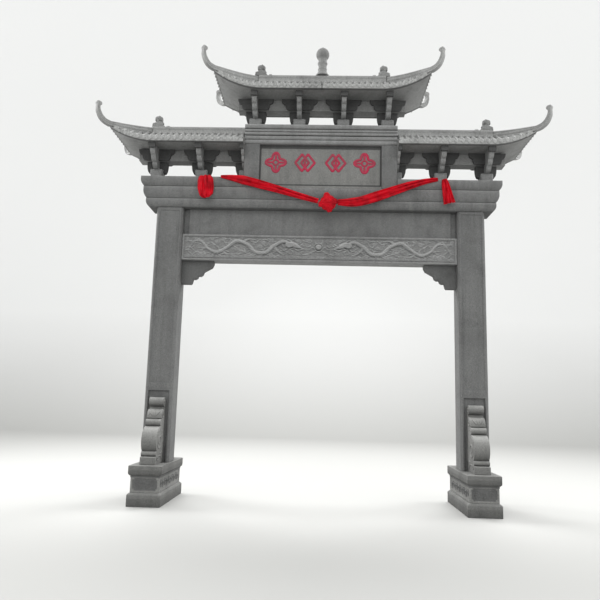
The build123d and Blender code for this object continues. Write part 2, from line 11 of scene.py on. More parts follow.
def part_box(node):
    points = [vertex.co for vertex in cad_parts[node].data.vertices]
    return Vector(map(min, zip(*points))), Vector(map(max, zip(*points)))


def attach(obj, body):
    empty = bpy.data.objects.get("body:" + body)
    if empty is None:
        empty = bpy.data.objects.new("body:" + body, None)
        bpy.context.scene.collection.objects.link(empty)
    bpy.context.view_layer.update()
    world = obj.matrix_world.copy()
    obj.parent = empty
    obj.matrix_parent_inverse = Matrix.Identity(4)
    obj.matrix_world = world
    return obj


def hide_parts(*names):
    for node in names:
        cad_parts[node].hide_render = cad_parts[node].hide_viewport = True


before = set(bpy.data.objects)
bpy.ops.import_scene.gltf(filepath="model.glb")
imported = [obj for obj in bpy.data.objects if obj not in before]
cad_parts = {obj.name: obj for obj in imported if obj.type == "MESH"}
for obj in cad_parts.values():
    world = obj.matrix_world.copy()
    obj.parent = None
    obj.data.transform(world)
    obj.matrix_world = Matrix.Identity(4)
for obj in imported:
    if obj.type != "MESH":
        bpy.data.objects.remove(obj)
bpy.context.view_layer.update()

bl_info = {
    "name": "Stone Gateway",
    "version": (1, 0, 0),
    "blender": (4, 5, 0),
    "location": "View3D > Sidebar > Gateway",
    "description": "Builds a carved stone gateway with tiled hip roofs and red cloth over its CAD frame",
    "category": "Add Mesh",
}

SIDES = {"left": -1, "right": 1}
FACES = {"front": -1, "back": 1}
MERGE_DISTANCE = 2e-5

# Measures that more than one step needs: half the middle block's length, how far the name panel's face is
# from the middle plane, and the centre and radii of a scroll stone's shoulder
BLOCK_HALF = 1.290
PANEL_FACE = 0.245
SHOULDER = ((0.270, 0.704), (0.112, 0.128))


# Meshes from whole arrays
class Patches:
    """Collects grids, tubes and flat caps of points, and makes one mesh of them."""

    def __init__(self):
        self.points = []
        self.loops = []
        self.totals = []
        self.count = 0

    def add_faces(self, faces):
        """Faces as an array of point numbers, one face to a row."""
        faces = np.asarray(faces, int)
        self.loops.append(faces.ravel())
        self.totals.append(np.full(len(faces), faces.shape[1]))

    def grid(self, points, wrap_columns=False):
        """Quads between neighbours of a rows x columns array of points; wrapped columns join their ends."""
        rows, columns = points.shape[:2]
        start = self.count
        self.points.append(np.asarray(points, float).reshape(-1, 3))
        self.count += rows * columns
        row = np.arange(rows - 1)
        column = np.arange(columns if wrap_columns else columns - 1)
        i, j = (values.ravel() for values in np.meshgrid(row, column, indexing="ij"))
        below = start + i * columns
        above = below + columns
        beside = (j + 1) % columns
        self.add_faces(np.stack([below + j, below + beside, above + beside, above + j], axis=1))
        return start

    def cap(self, ring):
        """One flat face over a ring of point numbers."""
        self.add_faces(np.asarray(ring, int)[None, :])

    def tube(self, rings):
        """A closed skin over rings of points, one ring per row, with a flat cap at each end."""
        rows, columns = rings.shape[:2]
        start = self.grid(rings, wrap_columns=True)
        self.cap(start + np.arange(columns)[::-1])
        self.cap(start + (rows - 1) * columns + np.arange(columns))

    def mesh(self, name, smooth_angle, outward=True):
        """One mesh of all that was collected; a face starts where the corners of those before it end."""
        mesh = bpy.data.meshes.new(name)
        points = np.concatenate(self.points)
        loops = np.concatenate(self.loops)
        totals = np.concatenate(self.totals)
        mesh.vertices.add(len(points))
        mesh.vertices.foreach_set("co", points.ravel())
        mesh.loops.add(len(loops))
        mesh.loops.foreach_set("vertex_index", loops.astype(np.int32))
        mesh.polygons.add(len(totals))
        starts = np.concatenate([[0], np.cumsum(totals)[:-1]])
        mesh.polygons.foreach_set("loop_start", starts.astype(np.int32))
        mesh.update(calc_edges=True)
        tidy_mesh(mesh, smooth_angle, outward)
        return mesh

    def piece(self, name, smooth_angle, stone_name, slot, replaces=()):
        """The mesh as a piece in the finish of that name."""
        return new_piece(name, self.mesh(name, smooth_angle), finish(stone_name), replaces)


def tidy_mesh(mesh, smooth_angle, outward=True, dissolve=False):
    """Merge doubles, point the faces outwards, and shade smooth up to an angle."""
    work = bmesh.new()
    work.from_mesh(mesh)
    bmesh.ops.remove_doubles(work, verts=work.verts, dist=MERGE_DISTANCE)
    if dissolve:
        bmesh.ops.dissolve_limit(work, angle_limit=radians(0.8), verts=work.verts, edges=work.edges)
    if outward:
        bmesh.ops.recalc_face_normals(work, faces=work.faces)
    work.to_mesh(mesh)
    work.free()
    mesh.shade_smooth()
    mesh.set_sharp_from_angle(angle=radians(smooth_angle))
    mesh.update()


def new_piece(name, mesh, material, replaces=()):
    """Link a finished mesh as a piece that rides on the root body."""
    mesh.materials.clear()
    mesh.materials.append(material)
    piece = bpy.data.objects.new(name, mesh)
    bpy.context.scene.collection.objects.link(piece)
    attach(piece, "root")
    if replaces:
        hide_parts(*replaces)
    return piece


def bevelled(piece, width, angle=28):
    """Round the piece's edges that are sharper than the angle, as worn stone has them."""
    bevel = piece.modifiers.new("worn_edges", "BEVEL")
    bevel.width = width
    bevel.segments = 2
    bevel.limit_method = "ANGLE"
    bevel.angle_limit = radians(angle)


def store_share(mesh, share):
    """Stores a number from 0 to 1 with each point, for the materials that shade by it."""
    layer = mesh.attributes.new("share", "FLOAT", "POINT")
    layer.data.foreach_set("value", np.clip(share, 0, 1).astype(np.float32))


def points_of(mesh):
    """The mesh's points as one array, a point to a row."""
    places = np.empty(len(mesh.vertices) * 3)
    mesh.vertices.foreach_get("co", places)
    return places.reshape(-1, 3)


def lay_pattern(mesh, places):
    """The mesh's own coordinates: each corner of a face takes the pair of its point."""
    index = np.empty(len(mesh.loops), np.int32)
    mesh.loops.foreach_get("vertex_index", index)
    layer = mesh.uv_layers.new(name="cut")
    layer.uv.foreach_set("vector", places[index].ravel())


def dressed_node(node, stone_name, width):
    """A merged copy of a CAD node with rounded edges, in place of the node: its points are rounded to the
    merge distance, equal ones become one, and triangles that shrink to a line go. Each point stores how far
    up it is."""
    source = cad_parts[node].data
    points = points_of(source)
    source.calc_loop_triangles()
    corners = np.empty(len(source.loop_triangles) * 3, np.int32)
    source.loop_triangles.foreach_get("vertices", corners)
    keys = np.round(points / MERGE_DISTANCE).astype(np.int64)
    unused, first, index = np.unique(keys, axis=0, return_index=True, return_inverse=True)
    triangles = index.ravel()[corners].reshape(-1, 3)
    whole = np.all(triangles != np.roll(triangles, 1, axis=1), axis=1)
    mesh = bpy.data.meshes.new(f"{node}_stone")
    mesh.from_pydata(points[first].tolist(), [], triangles[whole].tolist())
    tidy_mesh(mesh, 35, outward=False, dissolve=True)
    # How far up each point is, for the bands of finishes that paint shade low on a stone and light at its
    # top.
    level = points_of(mesh)[:, 2]
    store_share(mesh, (level - level.min()) / np.ptp(level))
    bevelled(new_piece(mesh.name, mesh, finish(stone_name), (node,)), width)


def box_of(node):
    """The lowest and the highest corner of a CAD node, as arrays."""
    low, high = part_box(node)
    return np.array(low), np.array(high)


# Curves as whole arrays
def through(points, count):
    """A smooth curve through a few points: each span is a cubic whose end slopes come from its
    neighbours."""
    points = np.asarray(points, float)
    slopes = np.gradient(points, axis=0)
    t = np.linspace(0, len(points) - 1, count)
    i = np.minimum(t.astype(int), len(points) - 2)
    s = (t - i)[:, None]
    a, b, ma, mb = points[i], points[i + 1], slopes[i], slopes[i + 1]
    return ((2 * s ** 3 - 3 * s ** 2 + 1) * a + (s ** 3 - 2 * s ** 2 + s) * ma
            + (3 * s ** 2 - 2 * s ** 3) * b + (s ** 3 - s ** 2) * mb)


def unit(vectors):
    """The vectors scaled to a length of one."""
    return vectors / np.maximum(np.linalg.norm(vectors, axis=-1, keepdims=True), 1e-9)


def circle(turn):
    """Points on a circle of radius one, cosine and sine of each angle."""
    return np.stack([np.cos(turn), np.sin(turn)], axis=1)


def mirrored(half):
    """A closed outline from the points of its right half, by turning them round and over the upright
    axis."""
    return np.concatenate([half, half[::-1] * np.array([-1, 1])])


def spread(*arrays):
    """Coordinates of any shapes that fit together, as one array of points."""
    return np.stack(np.broadcast_arrays(*arrays), axis=-1)


# Materials
def nodes_of(name):
    """A new material with its node tree and main shader, and a function that adds a node: what isn't a
    property of the node sets the input of that name, and links maps inputs to the sockets that feed
    them."""
    material = bpy.data.materials.new(name)
    material.use_nodes = True
    tree = material.node_tree
    shader = tree.nodes["Principled BSDF"]

    def add(kind, links=None, **values):
        node = tree.nodes.new("ShaderNode" + kind)
        for key, value in values.items():
            if hasattr(node, key):
                setattr(node, key, value)
            else:
                node.inputs[key.replace("_", " ")].default_value = value
        for key, socket in (links or {}).items():
            tree.links.new(socket, node.inputs[key])
        return node

    return material, tree, shader, add


def ramp(add, value, stops):
    """A colour ramp whose stops are (place, grey or colour)."""
    node = add("ValToRGB", {0: value})
    while len(node.color_ramp.elements) < len(stops):
        node.color_ramp.elements.new(0.5)
    for element, (place, colour) in zip(node.color_ramp.elements, stops):
        element.position = place
        element.color = (*colour, 1) if isinstance(colour, tuple) else (colour, colour, colour, 1)
    return node.outputs["Color"]


def shade_mix(add, first, second, factor, mode="MIX"):
    """A colour mix; each colour and the factor may be a socket or a value."""
    node = add("Mix", data_type="RGBA", blend_type=mode)
    for socket, value in ((node.inputs[0], factor), (node.inputs[6], first), (node.inputs[7], second)):
        if isinstance(value, bpy.types.NodeSocket):
            node.id_data.links.new(value, socket)
        else:
            socket.default_value = (*value, 1) if isinstance(value, tuple) else value
    return node.outputs[2]


def stone(name, colour, stain=0.24, streaks=0.13, dust_and_skylight=0.0, bands=None, carved=0.0):
    """Grey stone: crystal speckle of a few millimetres, cloudy patches, rain streaks down the faces,
    and a paler tone on what faces the sky, partly a dusting of grit and partly painted sky light. Bands are
    stops of a ramp over the share stored with the points, mostly painted light and shade. Carved stone gets
    painted light and shade: pale on what faces up and dark on what faces down, by the amount given."""
    material, tree, shader, add = nodes_of(name)
    speckle, grain = 0.3, 0.0004
    place = add("TexCoord").outputs["Object"]
    crystals = add("TexVoronoi", {"Vector": place}, Scale=190.0).outputs["Color"]
    crystal_grey = add("RGBToBW", {0: crystals}).outputs[0]
    fine = add("TexNoise", {"Vector": place}, Scale=75.0, Detail=5.0, Roughness=0.7).outputs["Fac"]
    cloud = add("TexNoise", {"Vector": place}, Scale=1.7, Detail=6.0, Roughness=0.62,
                Distortion=0.6).outputs["Fac"]
    squash = add("Mapping", {"Vector": place}, Scale=(9.0, 9.0, 0.7)).outputs[0]
    streak = add("TexNoise", {"Vector": squash}, Scale=1.0, Detail=4.0, Roughness=0.6).outputs["Fac"]
    upward = add("SeparateXYZ", {0: add("NewGeometry").outputs["Normal"]}).outputs["Z"]
    dark = tuple(channel * (1 - speckle) for channel in colour)
    pale = tuple(min(1.0, channel * (1 + speckle)) for channel in colour)
    base = ramp(add, crystal_grey, ((0.25, dark), (0.5, colour), (0.85, pale)))
    layers = [ramp(add, cloud, ((0.3, 1 - stain), (0.52, 1.0))),
              ramp(add, streak, ((0.34, 1 - streaks), (0.55, 1.0)))]
    # Bands over the stored share, mostly painted light and shade; each finish in STONES sets its own.
    if bands:
        layers.append(ramp(add, add("Attribute", attribute_name="share").outputs["Fac"], bands))
    # Painted light and shade by facing: paler where a face turns up, darker where it turns down.
    if carved:
        facing = add("MapRange", {"Value": upward}, From_Min=-0.8, From_Max=0.8).outputs[0]
        layers.append(ramp(add, facing, ((0.0, 1 - carved), (0.5, 1.0), (1.0, 1 + carved))))
    for layer in layers:
        base = shade_mix(add, base, layer, 1.0, "MULTIPLY")
    # Paler on what faces the sky, in cloudy patches: partly a dusting of grit, partly painted sky light.
    if dust_and_skylight:
        amount = add("MapRange", {"Value": upward}, From_Min=0.2, From_Max=0.95, To_Max=dust_and_skylight).outputs[0]
        dust_and_skylight_share = add("Math", {0: amount, 1: cloud}, operation="MULTIPLY").outputs[0]
        base = shade_mix(add, base, tuple(min(1.0, 1.9 * channel) for channel in colour), dust_and_skylight_share)
    tree.links.new(base, shader.inputs["Base Color"])
    rough = add("MapRange", {"Value": fine}, To_Min=0.72, To_Max=0.92).outputs[0]
    tree.links.new(rough, shader.inputs["Roughness"])
    shader.inputs["Specular IOR Level"].default_value = 0.35
    pits = add("Bump", {"Height": fine}, Strength=0.55, Distance=grain * 4).outputs[0]
    pick = add("Bump", {"Height": crystal_grey, "Normal": pits}, Strength=0.3, Distance=grain).outputs[0]
    tree.links.new(pick, shader.inputs["Normal"])
    return material


def cloth_material(name, colour):
    """Thin satin: a fine weave along the cloth's own coordinates, a deeper red in cloudy patches as painted
    shade for its folds, and a soft sheen."""
    material, tree, shader, add = nodes_of(name)
    uv = add("TexCoord").outputs["UV"]
    place = add("TexCoord").outputs["Object"]
    warp, weft = (add("TexWave", {"Vector": uv}, bands_direction=axis, Scale=210.0, Distortion=0.4)
                  for axis in ("X", "Y"))
    weave = add("Math", {0: warp.outputs["Fac"], 1: weft.outputs["Fac"]}, operation="MULTIPLY").outputs[0]
    cloud = add("TexNoise", {"Vector": place}, Scale=9.0, Detail=4.0).outputs["Fac"]
    # Painted shade: a deeper red, laid in cloudy patches, for the shade of the folds.
    deep = tuple(0.55 * channel for channel in colour)
    tint = ramp(add, cloud, ((0.35, deep), (0.6, colour)))
    woven = ramp(add, weave, ((0.0, 0.86), (0.6, 1.0)))
    tree.links.new(shade_mix(add, tint, woven, 1.0, "MULTIPLY"), shader.inputs["Base Color"])
    shader.inputs["Roughness"].default_value = 0.5
    shader.inputs["Specular IOR Level"].default_value = 0.12
    shader.inputs["Sheen Weight"].default_value = 0.05
    shader.inputs["Sheen Roughness"].default_value = 0.4
    shader.inputs["Sheen Tint"].default_value = (1.0, 0.2, 0.3, 1)
    bump = add("Bump", {"Height": weave}, Strength=0.25, Distance=0.0006).outputs[0]
    tree.links.new(bump, shader.inputs["Normal"])
    return material


def paint_material(name, colour, under):
    """Matt paint on carved stone, worn through to the stone in small spots."""
    material, tree, shader, add = nodes_of(name)
    place = add("TexCoord").outputs["Object"]
    spots = add("TexNoise", {"Vector": place}, Scale=46.0, Detail=6.0, Roughness=0.75).outputs["Fac"]
    cloud = add("TexNoise", {"Vector": place}, Scale=7.0, Detail=3.0).outputs["Fac"]
    faded = tuple(0.55 * channel + 0.03 for channel in colour)
    tint = ramp(add, cloud, ((0.35, faded), (0.65, colour)))
    worn = ramp(add, spots, ((0.60, 0.0), (0.70, 0.6)))
    tree.links.new(shade_mix(add, tint, under, worn), shader.inputs["Base Color"])
    shader.inputs["Roughness"].default_value = 0.78
    bump = add("Bump", {"Height": spots}, Strength=0.3, Distance=0.0015).outputs[0]
    tree.links.new(bump, shader.inputs["Normal"])
    return material


# Each stone finish: the colour in the settings, how many times lighter it is, and what stone() takes
STONES = {
    "granite": ("granite", 1.0, {"dust_and_skylight": 0.5}),
    # Beam courses: painted shade at the foot of each course and painted light along its top, as a rounded
    # face is lit.
    "moulding_stone": ("granite", 1.0, {
        "stain": 0.22, "streaks": 0.16, "dust_and_skylight": 0.6,
        "bands": ((0.0, 0.70), (0.10, 0.96), (0.70, 1.06), (0.90, 1.28), (1.0, 1.45))}),
    # Cornice: painted shade at the foot and painted light along the top of each band.
    "cornice_stone": ("granite", 1.45, {
        "stain": 0.22, "streaks": 0.14, "dust_and_skylight": 0.4,
        "bands": ((0.0, 0.62), (0.22, 0.92), (0.70, 1.06), (0.90, 1.34), (1.0, 1.45))}),
    # Lintel relief: painted shade on its sunk ground and painted light on its raised forms, besides painted
    # light and shade by facing.
    "carved_stone": ("granite", 1.48, {
        "stain": 0.2, "streaks": 0.1, "carved": 0.75,
        "bands": ((0.0, 0.82), (0.15, 0.96), (0.45, 1.08), (1.0, 1.24))}),
    "lintel_stone": ("granite", 1.48, {"stain": 0.2, "streaks": 0.1}),
    "block_stone": ("granite", 1.58, {"stain": 0.24, "streaks": 0.1}),
    # Painted shade: darker copies of the granite. Shaded stone for the corner brackets under the lintel, a
    # line under each eave and the sunk panels under each base's cap; the darker one for the bracket arms
    # under the eave and the strips round the name panel.
    "shaded_stone": ("granite", 0.72, {"stain": 0.3, "streaks": 0.1}),
    "dark_stone": ("granite", 0.46, {"stain": 0.3, "streaks": 0.1}),
    "roof_stone": ("roof_stone", 1.0, {"stain": 0.3, "streaks": 0.1, "dust_and_skylight": 0.3}),
    "ridge_stone": ("roof_stone", 1.38, {"stain": 0.3, "streaks": 0.1, "dust_and_skylight": 0.2}),
    "eave_stone": ("roof_stone", 1.65, {"stain": 0.25, "streaks": 0.08}),
    "tile_stone": ("roof_stone", 1.9, {
        "stain": 0.25, "streaks": 0.08, "dust_and_skylight": 0.15,
        "bands": ((0.0, 1.0), (0.25, 0.90), (0.55, 0.62), (1.0, 0.50))}),
    # Bases: each stone darker low down and paler at its top, partly dirt and partly painted shade and light.
    "base_stone": ("base_stone", 1.0, {
        "stain": 0.3, "streaks": 0.12, "dust_and_skylight": 0.7,
        "bands": ((0.0, 0.72), (0.52, 0.86), (0.64, 1.10), (0.92, 1.16), (1.0, 1.50))}),
    "die_stone": ("base_stone", 1.48, {"stain": 0.3, "streaks": 0.12}),
    # Scroll stones: painted light on what faces up, painted shade on what faces down.
    "scroll_stone": ("base_stone", 1.40, {"stain": 0.26, "streaks": 0.1, "dust_and_skylight": 0.5, "carved": 0.45}),
    "panel_stone": ("panel_stone", 1.0, {"stain": 0.2, "streaks": 0.14}),
}
made = {}


def finish(name):
    """The material of that name, made once from the colours in the settings."""
    if name not in made:
        colours = bpy.context.scene.gateway_finish
        if name == "red_cloth":
            made[name] = cloth_material(name, tuple(colours.red_cloth))
        elif name == "red_paint":
            made[name] = paint_material(name, tuple(colours.red_paint), tuple(colours.granite))
        else:
            source, lighter, recipe = STONES[name]
            made[name] = stone(name, tuple(lighter * c for c in getattr(colours, source)), **recipe)
    return made[name]


# Settings that a user would change
class GatewayFinish(bpy.types.PropertyGroup):
    """Colours of the gateway, as linear light."""
    granite: bpy.props.FloatVectorProperty(
        name="Granite", description="Pillars, lintel and bracket sets", subtype="COLOR", size=3,
        default=(0.146, 0.147, 0.146))
    roof_stone: bpy.props.FloatVectorProperty(
        name="Roof stone", description="Roofs, ridges and horns", subtype="COLOR", size=3,
        default=(0.220, 0.221, 0.218))
    base_stone: bpy.props.FloatVectorProperty(
        name="Base stone", description="Stepped bases and scroll stones", subtype="COLOR", size=3,
        default=(0.130, 0.130, 0.126))
    panel_stone: bpy.props.FloatVectorProperty(
        name="Panel stone", description="The slab of the name block", subtype="COLOR", size=3,
        default=(0.184, 0.184, 0.177))
    red_cloth: bpy.props.FloatVectorProperty(
        name="Cloth", description="The hung cloth", subtype="COLOR", size=3, default=(0.60, 0.003, 0.014))
    red_paint: bpy.props.FloatVectorProperty(
        name="Paint", description="The painted motifs", subtype="COLOR", size=3, default=(0.38, 0.012, 0.050))


class GatewayTiles(bpy.types.PropertyGroup):
    """Sizes of the roof tiles."""
    pitch: bpy.props.FloatProperty(
        name="Row pitch", description="Distance between two rows of barrel tiles", unit="LENGTH",
        default=0.104)
    barrel: bpy.props.FloatProperty(
        name="Barrel radius", description="Radius of a barrel tile", unit="LENGTH", default=0.031)
    disc: bpy.props.FloatProperty(
        name="End radius", description="Radius of the round tile ends at the eave", unit="LENGTH",
        default=0.036)
    length: bpy.props.FloatProperty(
        name="Tile length", description="Length of one barrel tile", unit="LENGTH", default=0.135)
    drip: bpy.props.FloatProperty(
        name="Drip depth", description="How far the drip tiles hang over the edge", unit="LENGTH",
        default=0.042)


class GatewayCarving(bpy.types.PropertyGroup):
    """Sizes of the carved work."""
    edge: bpy.props.FloatProperty(
        name="Worn edge", description="Rounding of the stone's edges", unit="LENGTH", default=0.007)
    relief: bpy.props.FloatProperty(
        name="Relief", description="Depth of the lintel's relief", unit="LENGTH", default=0.026)
    grid: bpy.props.FloatProperty(
        name="Relief grid", description="Spacing of the relief's points", unit="LENGTH", default=0.0075)


# Roofs
class RoofShape:
    """One roof over its CAD solid, measured along +X from the middle. The eave runs level to the flat end
    and then rises on an arc to the corner; past the ridge's end the slope keeps its pitch."""
    flare = 0.066
    edge_height = 0.060
    corner_height = 0.030
    ridge_seat = 0.100
    hip_inset = 0.014
    sag = 0.026

    def __init__(self, node, reach, rise, inner, flat_end, ridge_end, lift, horn_reach):
        low, high = box_of(node)
        self.soffit = low[2]
        self.reach = reach
        self.ridge_low = self.soffit + rise
        self.inner = inner
        self.flat_end = flat_end
        self.ridge_end = ridge_end
        self.corner = max(abs(low[0]), abs(high[0]))
        self.lift = lift
        self.horn_reach = horn_reach
        run = self.corner - flat_end
        self.radius = (run ** 2 + lift ** 2) / (2 * lift)
        self.corner_reach = reach + self.flare
        reach, under, edge = self.eave(ridge_end)
        self.fall = (self.ridge_low - edge) / (reach - self.ridge_seat)

    def eave(self, x):
        """Reach, underside and top edge of the eave at distances x: the underside lies on the rising arc,
        and the reach grows with the square of the way from the flat end to the corner."""
        along = np.clip(x - self.flat_end, 0, None)
        share = along / (self.corner - self.flat_end)
        under = self.soffit + self.radius - np.sqrt(self.radius ** 2 - along ** 2)
        edge = under + self.edge_height + (self.corner_height - self.edge_height) * share
        return self.reach + self.flare * share ** 2, under, edge

    def hip(self, x):
        """Distance of the hip line from the middle plane, and its height, at distances x."""
        past = np.clip((x - self.ridge_end) / (self.corner - self.ridge_end), 0, None)
        out = np.maximum(self.ridge_seat, past * (self.corner_reach - self.hip_inset))
        reach, under, edge = self.eave(x)
        return out, np.where(past > 0, edge + self.fall * (reach - out), self.ridge_low)

    def slope(self, x, t):
        """The front slope at x, from the eave at t = 0 to the hip or ridge at t = 1, hollow in between."""
        reach, under, edge = self.eave(x)
        out, top = self.hip(x)
        sag = self.sag * np.minimum(1.0, (reach - out) / self.reach)
        return spread(x, reach + (out - reach) * t, edge + (top - edge) * t - 4 * sag * t * (1 - t))

    def end_slope(self, y, t):
        """The end slope at y, from the end eave at t = 0 up to the hip at t = 1."""
        share = np.abs(y) / (self.corner_reach - self.hip_inset)
        start = self.ridge_end + (self.corner - self.ridge_end) * share
        x = self.corner + (start - self.corner) * t
        return spread(x, y, self.hip(x)[1])


def center_shape():
    """The middle roof, with a hip at both ends."""
    return RoofShape("center_roof", reach=0.540, rise=0.350, inner=0.0, flat_end=1.000, ridge_end=1.120,
                     lift=0.257, horn_reach=0.228)


def side_shape():
    """A side roof, which starts at the middle block."""
    return RoofShape("right_roof", reach=0.520, rise=0.310, inner=BLOCK_HALF, flat_end=2.800, ridge_end=2.950,
                     lift=0.200, horn_reach=0.250)


def frames_along(surface, fixed, t, step=1e-3):
    """Points of a surface along t, the direction across the row and the unit normal at each one.
    The normal is the cross product of the two small steps on the surface."""
    here = surface(fixed, t)
    across = unit(surface(fixed + step, t) - here)
    forward = unit(surface(fixed, np.minimum(t + step, 1)) - surface(fixed, np.maximum(t - step, 0)))
    normal = unit(np.cross(across, forward))
    normal *= np.where(normal[..., 2:] < 0, -1, 1)
    return here, unit(np.cross(forward, normal)), normal


def foot_frame(surface, fixed):
    """The point, the direction across and the normal at the foot of one row."""
    here, across, normal = frames_along(surface, fixed, np.array([0.0]))
    return here[0], across[0], normal[0]


def add_barrel_row(patches, surface, fixed, tiles, fold):
    """A row of half-round barrel tiles: a half circle carried up the slope, wider at each tile's lower end.
    fold maps the row's points to their side of the gateway."""
    shortest_row = 0.05
    foot, top = surface(fixed, np.array([0.0, 1.0]))
    length = np.linalg.norm(top - foot)
    if length < shortest_row:
        return
    count = max(1, round(length / tiles.length))
    part = np.array([0.0, 0.06, 0.94, 1.0])
    t = ((np.arange(count)[:, None] + part) / count).ravel()
    width = np.tile([1.0, 1.08, 1.0, 0.94], count) * tiles.barrel
    here, across, normal = frames_along(surface, fixed, t)
    ring = np.concatenate([[[1, -0.35]], circle(np.linspace(0, pi, 7)), [[-1, -0.35]]])
    section = ring[:, :1] * across[:, None] + ring[:, 1:] * normal[:, None]
    patches.tube(fold(here[:, None] + width[:, None, None] * section))


def add_tile_end(patches, surface, fixed, outward, tiles, radius, fold):
    """A round tile end at the foot of a row: rings that step from a rim to a sunk ground and a small
    boss."""
    here, across, normal = foot_frame(surface, fixed)
    center = here + 0.35 * tiles.barrel * normal
    up = unit(np.cross(across, outward))
    up *= np.sign(up[2])
    radii = np.array([1.0, 1.0, 0.82, 0.76, 0.36, 0.30, 0.10]) * radius
    out = np.array([-0.030, 0.004, 0.006, 0.000, 0.000, 0.005, 0.007])
    turn = np.linspace(0, 2 * pi, 12, endpoint=False)
    rim = np.cos(turn)[:, None] * across + np.sin(turn)[:, None] * up
    patches.tube(fold(center + radii[:, None, None] * rim + out[:, None, None] * outward))


def add_drip(patches, surface, fixed, outward, width, depth, fold):
    """A drip tile: a curved plate whose lower edge hangs in a pointed arc between two tile ends."""
    here, across, normal = foot_frame(surface, fixed)
    seat, thick, bow, top = 0.006, 0.012, 0.010, 0.016
    u = np.linspace(-1, 1, 7)
    z = np.stack([np.full(7, top), np.zeros(7), -depth * (1 - np.abs(u) ** 1.6)])
    z = np.concatenate([z, z[::-1]])
    out = np.repeat([thick, 0.0], 3)[:, None] + bow * (1 - u ** 2)
    side = np.broadcast_to(u * width / 2, z.shape)
    up = np.array([0.0, 0.0, 1.0])
    rings = here - seat * up + side[..., None] * across + z[..., None] * up + out[..., None] * outward
    patches.tube(fold(np.swapaxes(rings, 0, 1)))


def add_roof_body(patches, roof, fold, both_ends):
    """The roof under its tiles: cross sections carried along X, flat below, with a lip and stepped pans."""
    x = np.linspace(-roof.corner if both_ends else roof.inner, roof.corner, 90)
    far = np.abs(x)
    reach, under, edge = roof.eave(far)
    pans, pan_step = 16, 0.010
    t = np.repeat(np.arange(pans + 1) / pans, 2)[1:-1]
    slope = roof.slope(far[:, None], t[None, :])
    slope[..., 0] = x[:, None]
    slope[..., 2] -= np.tile([0.0, pan_step], pans)
    lip = np.stack([spread(x, y, z) for y, z in (
        (0, under), (reach - 0.085, under), (reach - 0.075, under - 0.004), (reach - 0.006, under - 0.004),
        (reach, under + 0.003), (reach, edge - 0.022), (reach - 0.014, edge - 0.018),
        (reach - 0.014, edge - 0.004))], axis=1)
    crown = spread(x, 0, roof.hip(far)[1])[:, None]
    half = np.concatenate([lip, slope, crown], axis=1)
    other = half[:, -2:0:-1] * np.array([1, -1, 1])
    patches.tube(fold(np.concatenate([half, other], axis=1)))


def add_eave_strip(patches, roof, near, far, low, high, fold, under_edge=False):
    """A strip along the eave between two distances from its edge and two heights over its underside, or
    with its top that far under the eave's upper edge. It runs along the front, and along the hipped end."""
    x = np.linspace(roof.inner, roof.corner, 60)
    reach, under, edge = roof.eave(x)
    top = edge - high if under_edge else under + high
    under = under + low
    corners = ((near, under), (far, under), (far, top), (near, top))
    patches.tube(fold(np.stack([spread(x, reach + out, z) for out, z in corners], axis=1)))
    y = np.array([0.0, roof.corner_reach + far])
    patches.tube(fold(np.stack([spread(roof.corner + out, y, z[-1]) for out, z in corners], axis=1)))


def build_roof(name, node, roof, side):
    """Body, barrel rows, tile ends and drips of one roof; side 0 is the middle roof with two hipped ends.
    The tile rows store how far in from the eave they are, up to 0.45 m."""
    tiles = bpy.context.scene.gateway_tiles
    body, rows, shade, lip = Patches(), Patches(), Patches(), Patches()
    front, end = np.array([0.0, 1.0, 0.0]), np.array([1.0, 0.0, 0.0])
    add_roof_body(body, roof, lambda points: points * np.array([side or 1, 1, 1]), side == 0)
    places = np.arange(roof.inner + tiles.pitch / 2, roof.corner - 0.03, tiles.pitch)
    for turn in (side,) if side else (-1, 1):
        for face in FACES.values():
            def fold(points, turn=turn, face=face):
                return points * np.array([turn, face, 1])
            add_eave_strip(lip, roof, -0.030, 0.003, 0.004, 0.012, fold, under_edge=True)
            # Under the lip, a strip of shaded stone: a painted shadow line beneath the eave.
            add_eave_strip(shade, roof, -0.050, -0.003, -0.007, 0.006, fold)
            for x in places:
                add_barrel_row(rows, roof.slope, x, tiles, fold)
                add_tile_end(rows, roof.slope, x, front, tiles, tiles.disc, fold)
            for x in places[:-1] + tiles.pitch / 2:
                add_drip(lip, roof.slope, x, front, tiles.pitch - 0.030, tiles.drip, fold)

        def fold(points, turn=turn):
            return points * np.array([turn, 1, 1])
        span = roof.corner_reach - 0.06
        count = round(2 * span / tiles.pitch)
        for y in np.linspace(-span, span, count + 1):
            add_barrel_row(rows, roof.end_slope, y, tiles, fold)
            add_tile_end(rows, roof.end_slope, y, end, tiles, tiles.disc * 0.95, fold)
            if y < span - 0.01:
                add_drip(lip, roof.end_slope, y + span / count, end, tiles.pitch - 0.034, tiles.drip * 0.8,
                         fold)
    body.piece(f"{name}_roof_body", 30, "roof_stone", "roof_stone", (node,))
    shade.piece(f"{name}_eave_mould", 30, "shaded_stone", "roof_stone")
    lip.piece(f"{name}_eave_lip", 40, "eave_stone", "roof_stone")
    mesh = rows.mesh(f"{name}_tile_rows", 42)
    far = np.abs(points_of(mesh))
    inside = np.minimum(roof.corner_reach - far[:, 1], roof.corner - far[:, 0])
    store_share(mesh, inside / 0.45)
    new_piece(mesh.name, mesh, finish("tile_stone"), (node,))


class GATEWAY_OT_roofs(bpy.types.Operator):
    """Lays the three roofs: stepped pans, rows of barrel tiles, round tile ends and drips"""
    bl_idname = "gateway.roofs"
    bl_label = "Tile the roofs"

    def execute(self, context):
        build_roof("center", "center_roof", center_shape(), 0)
        for name, side in SIDES.items():
            build_roof(name, f"{name}_roof", side_shape(), side)
        return {"FINISHED"}


# Ridges, hips and horns
RIDGE_TOP = 0.148
HIP_POINTS = 22
HORN_POINTS = 26


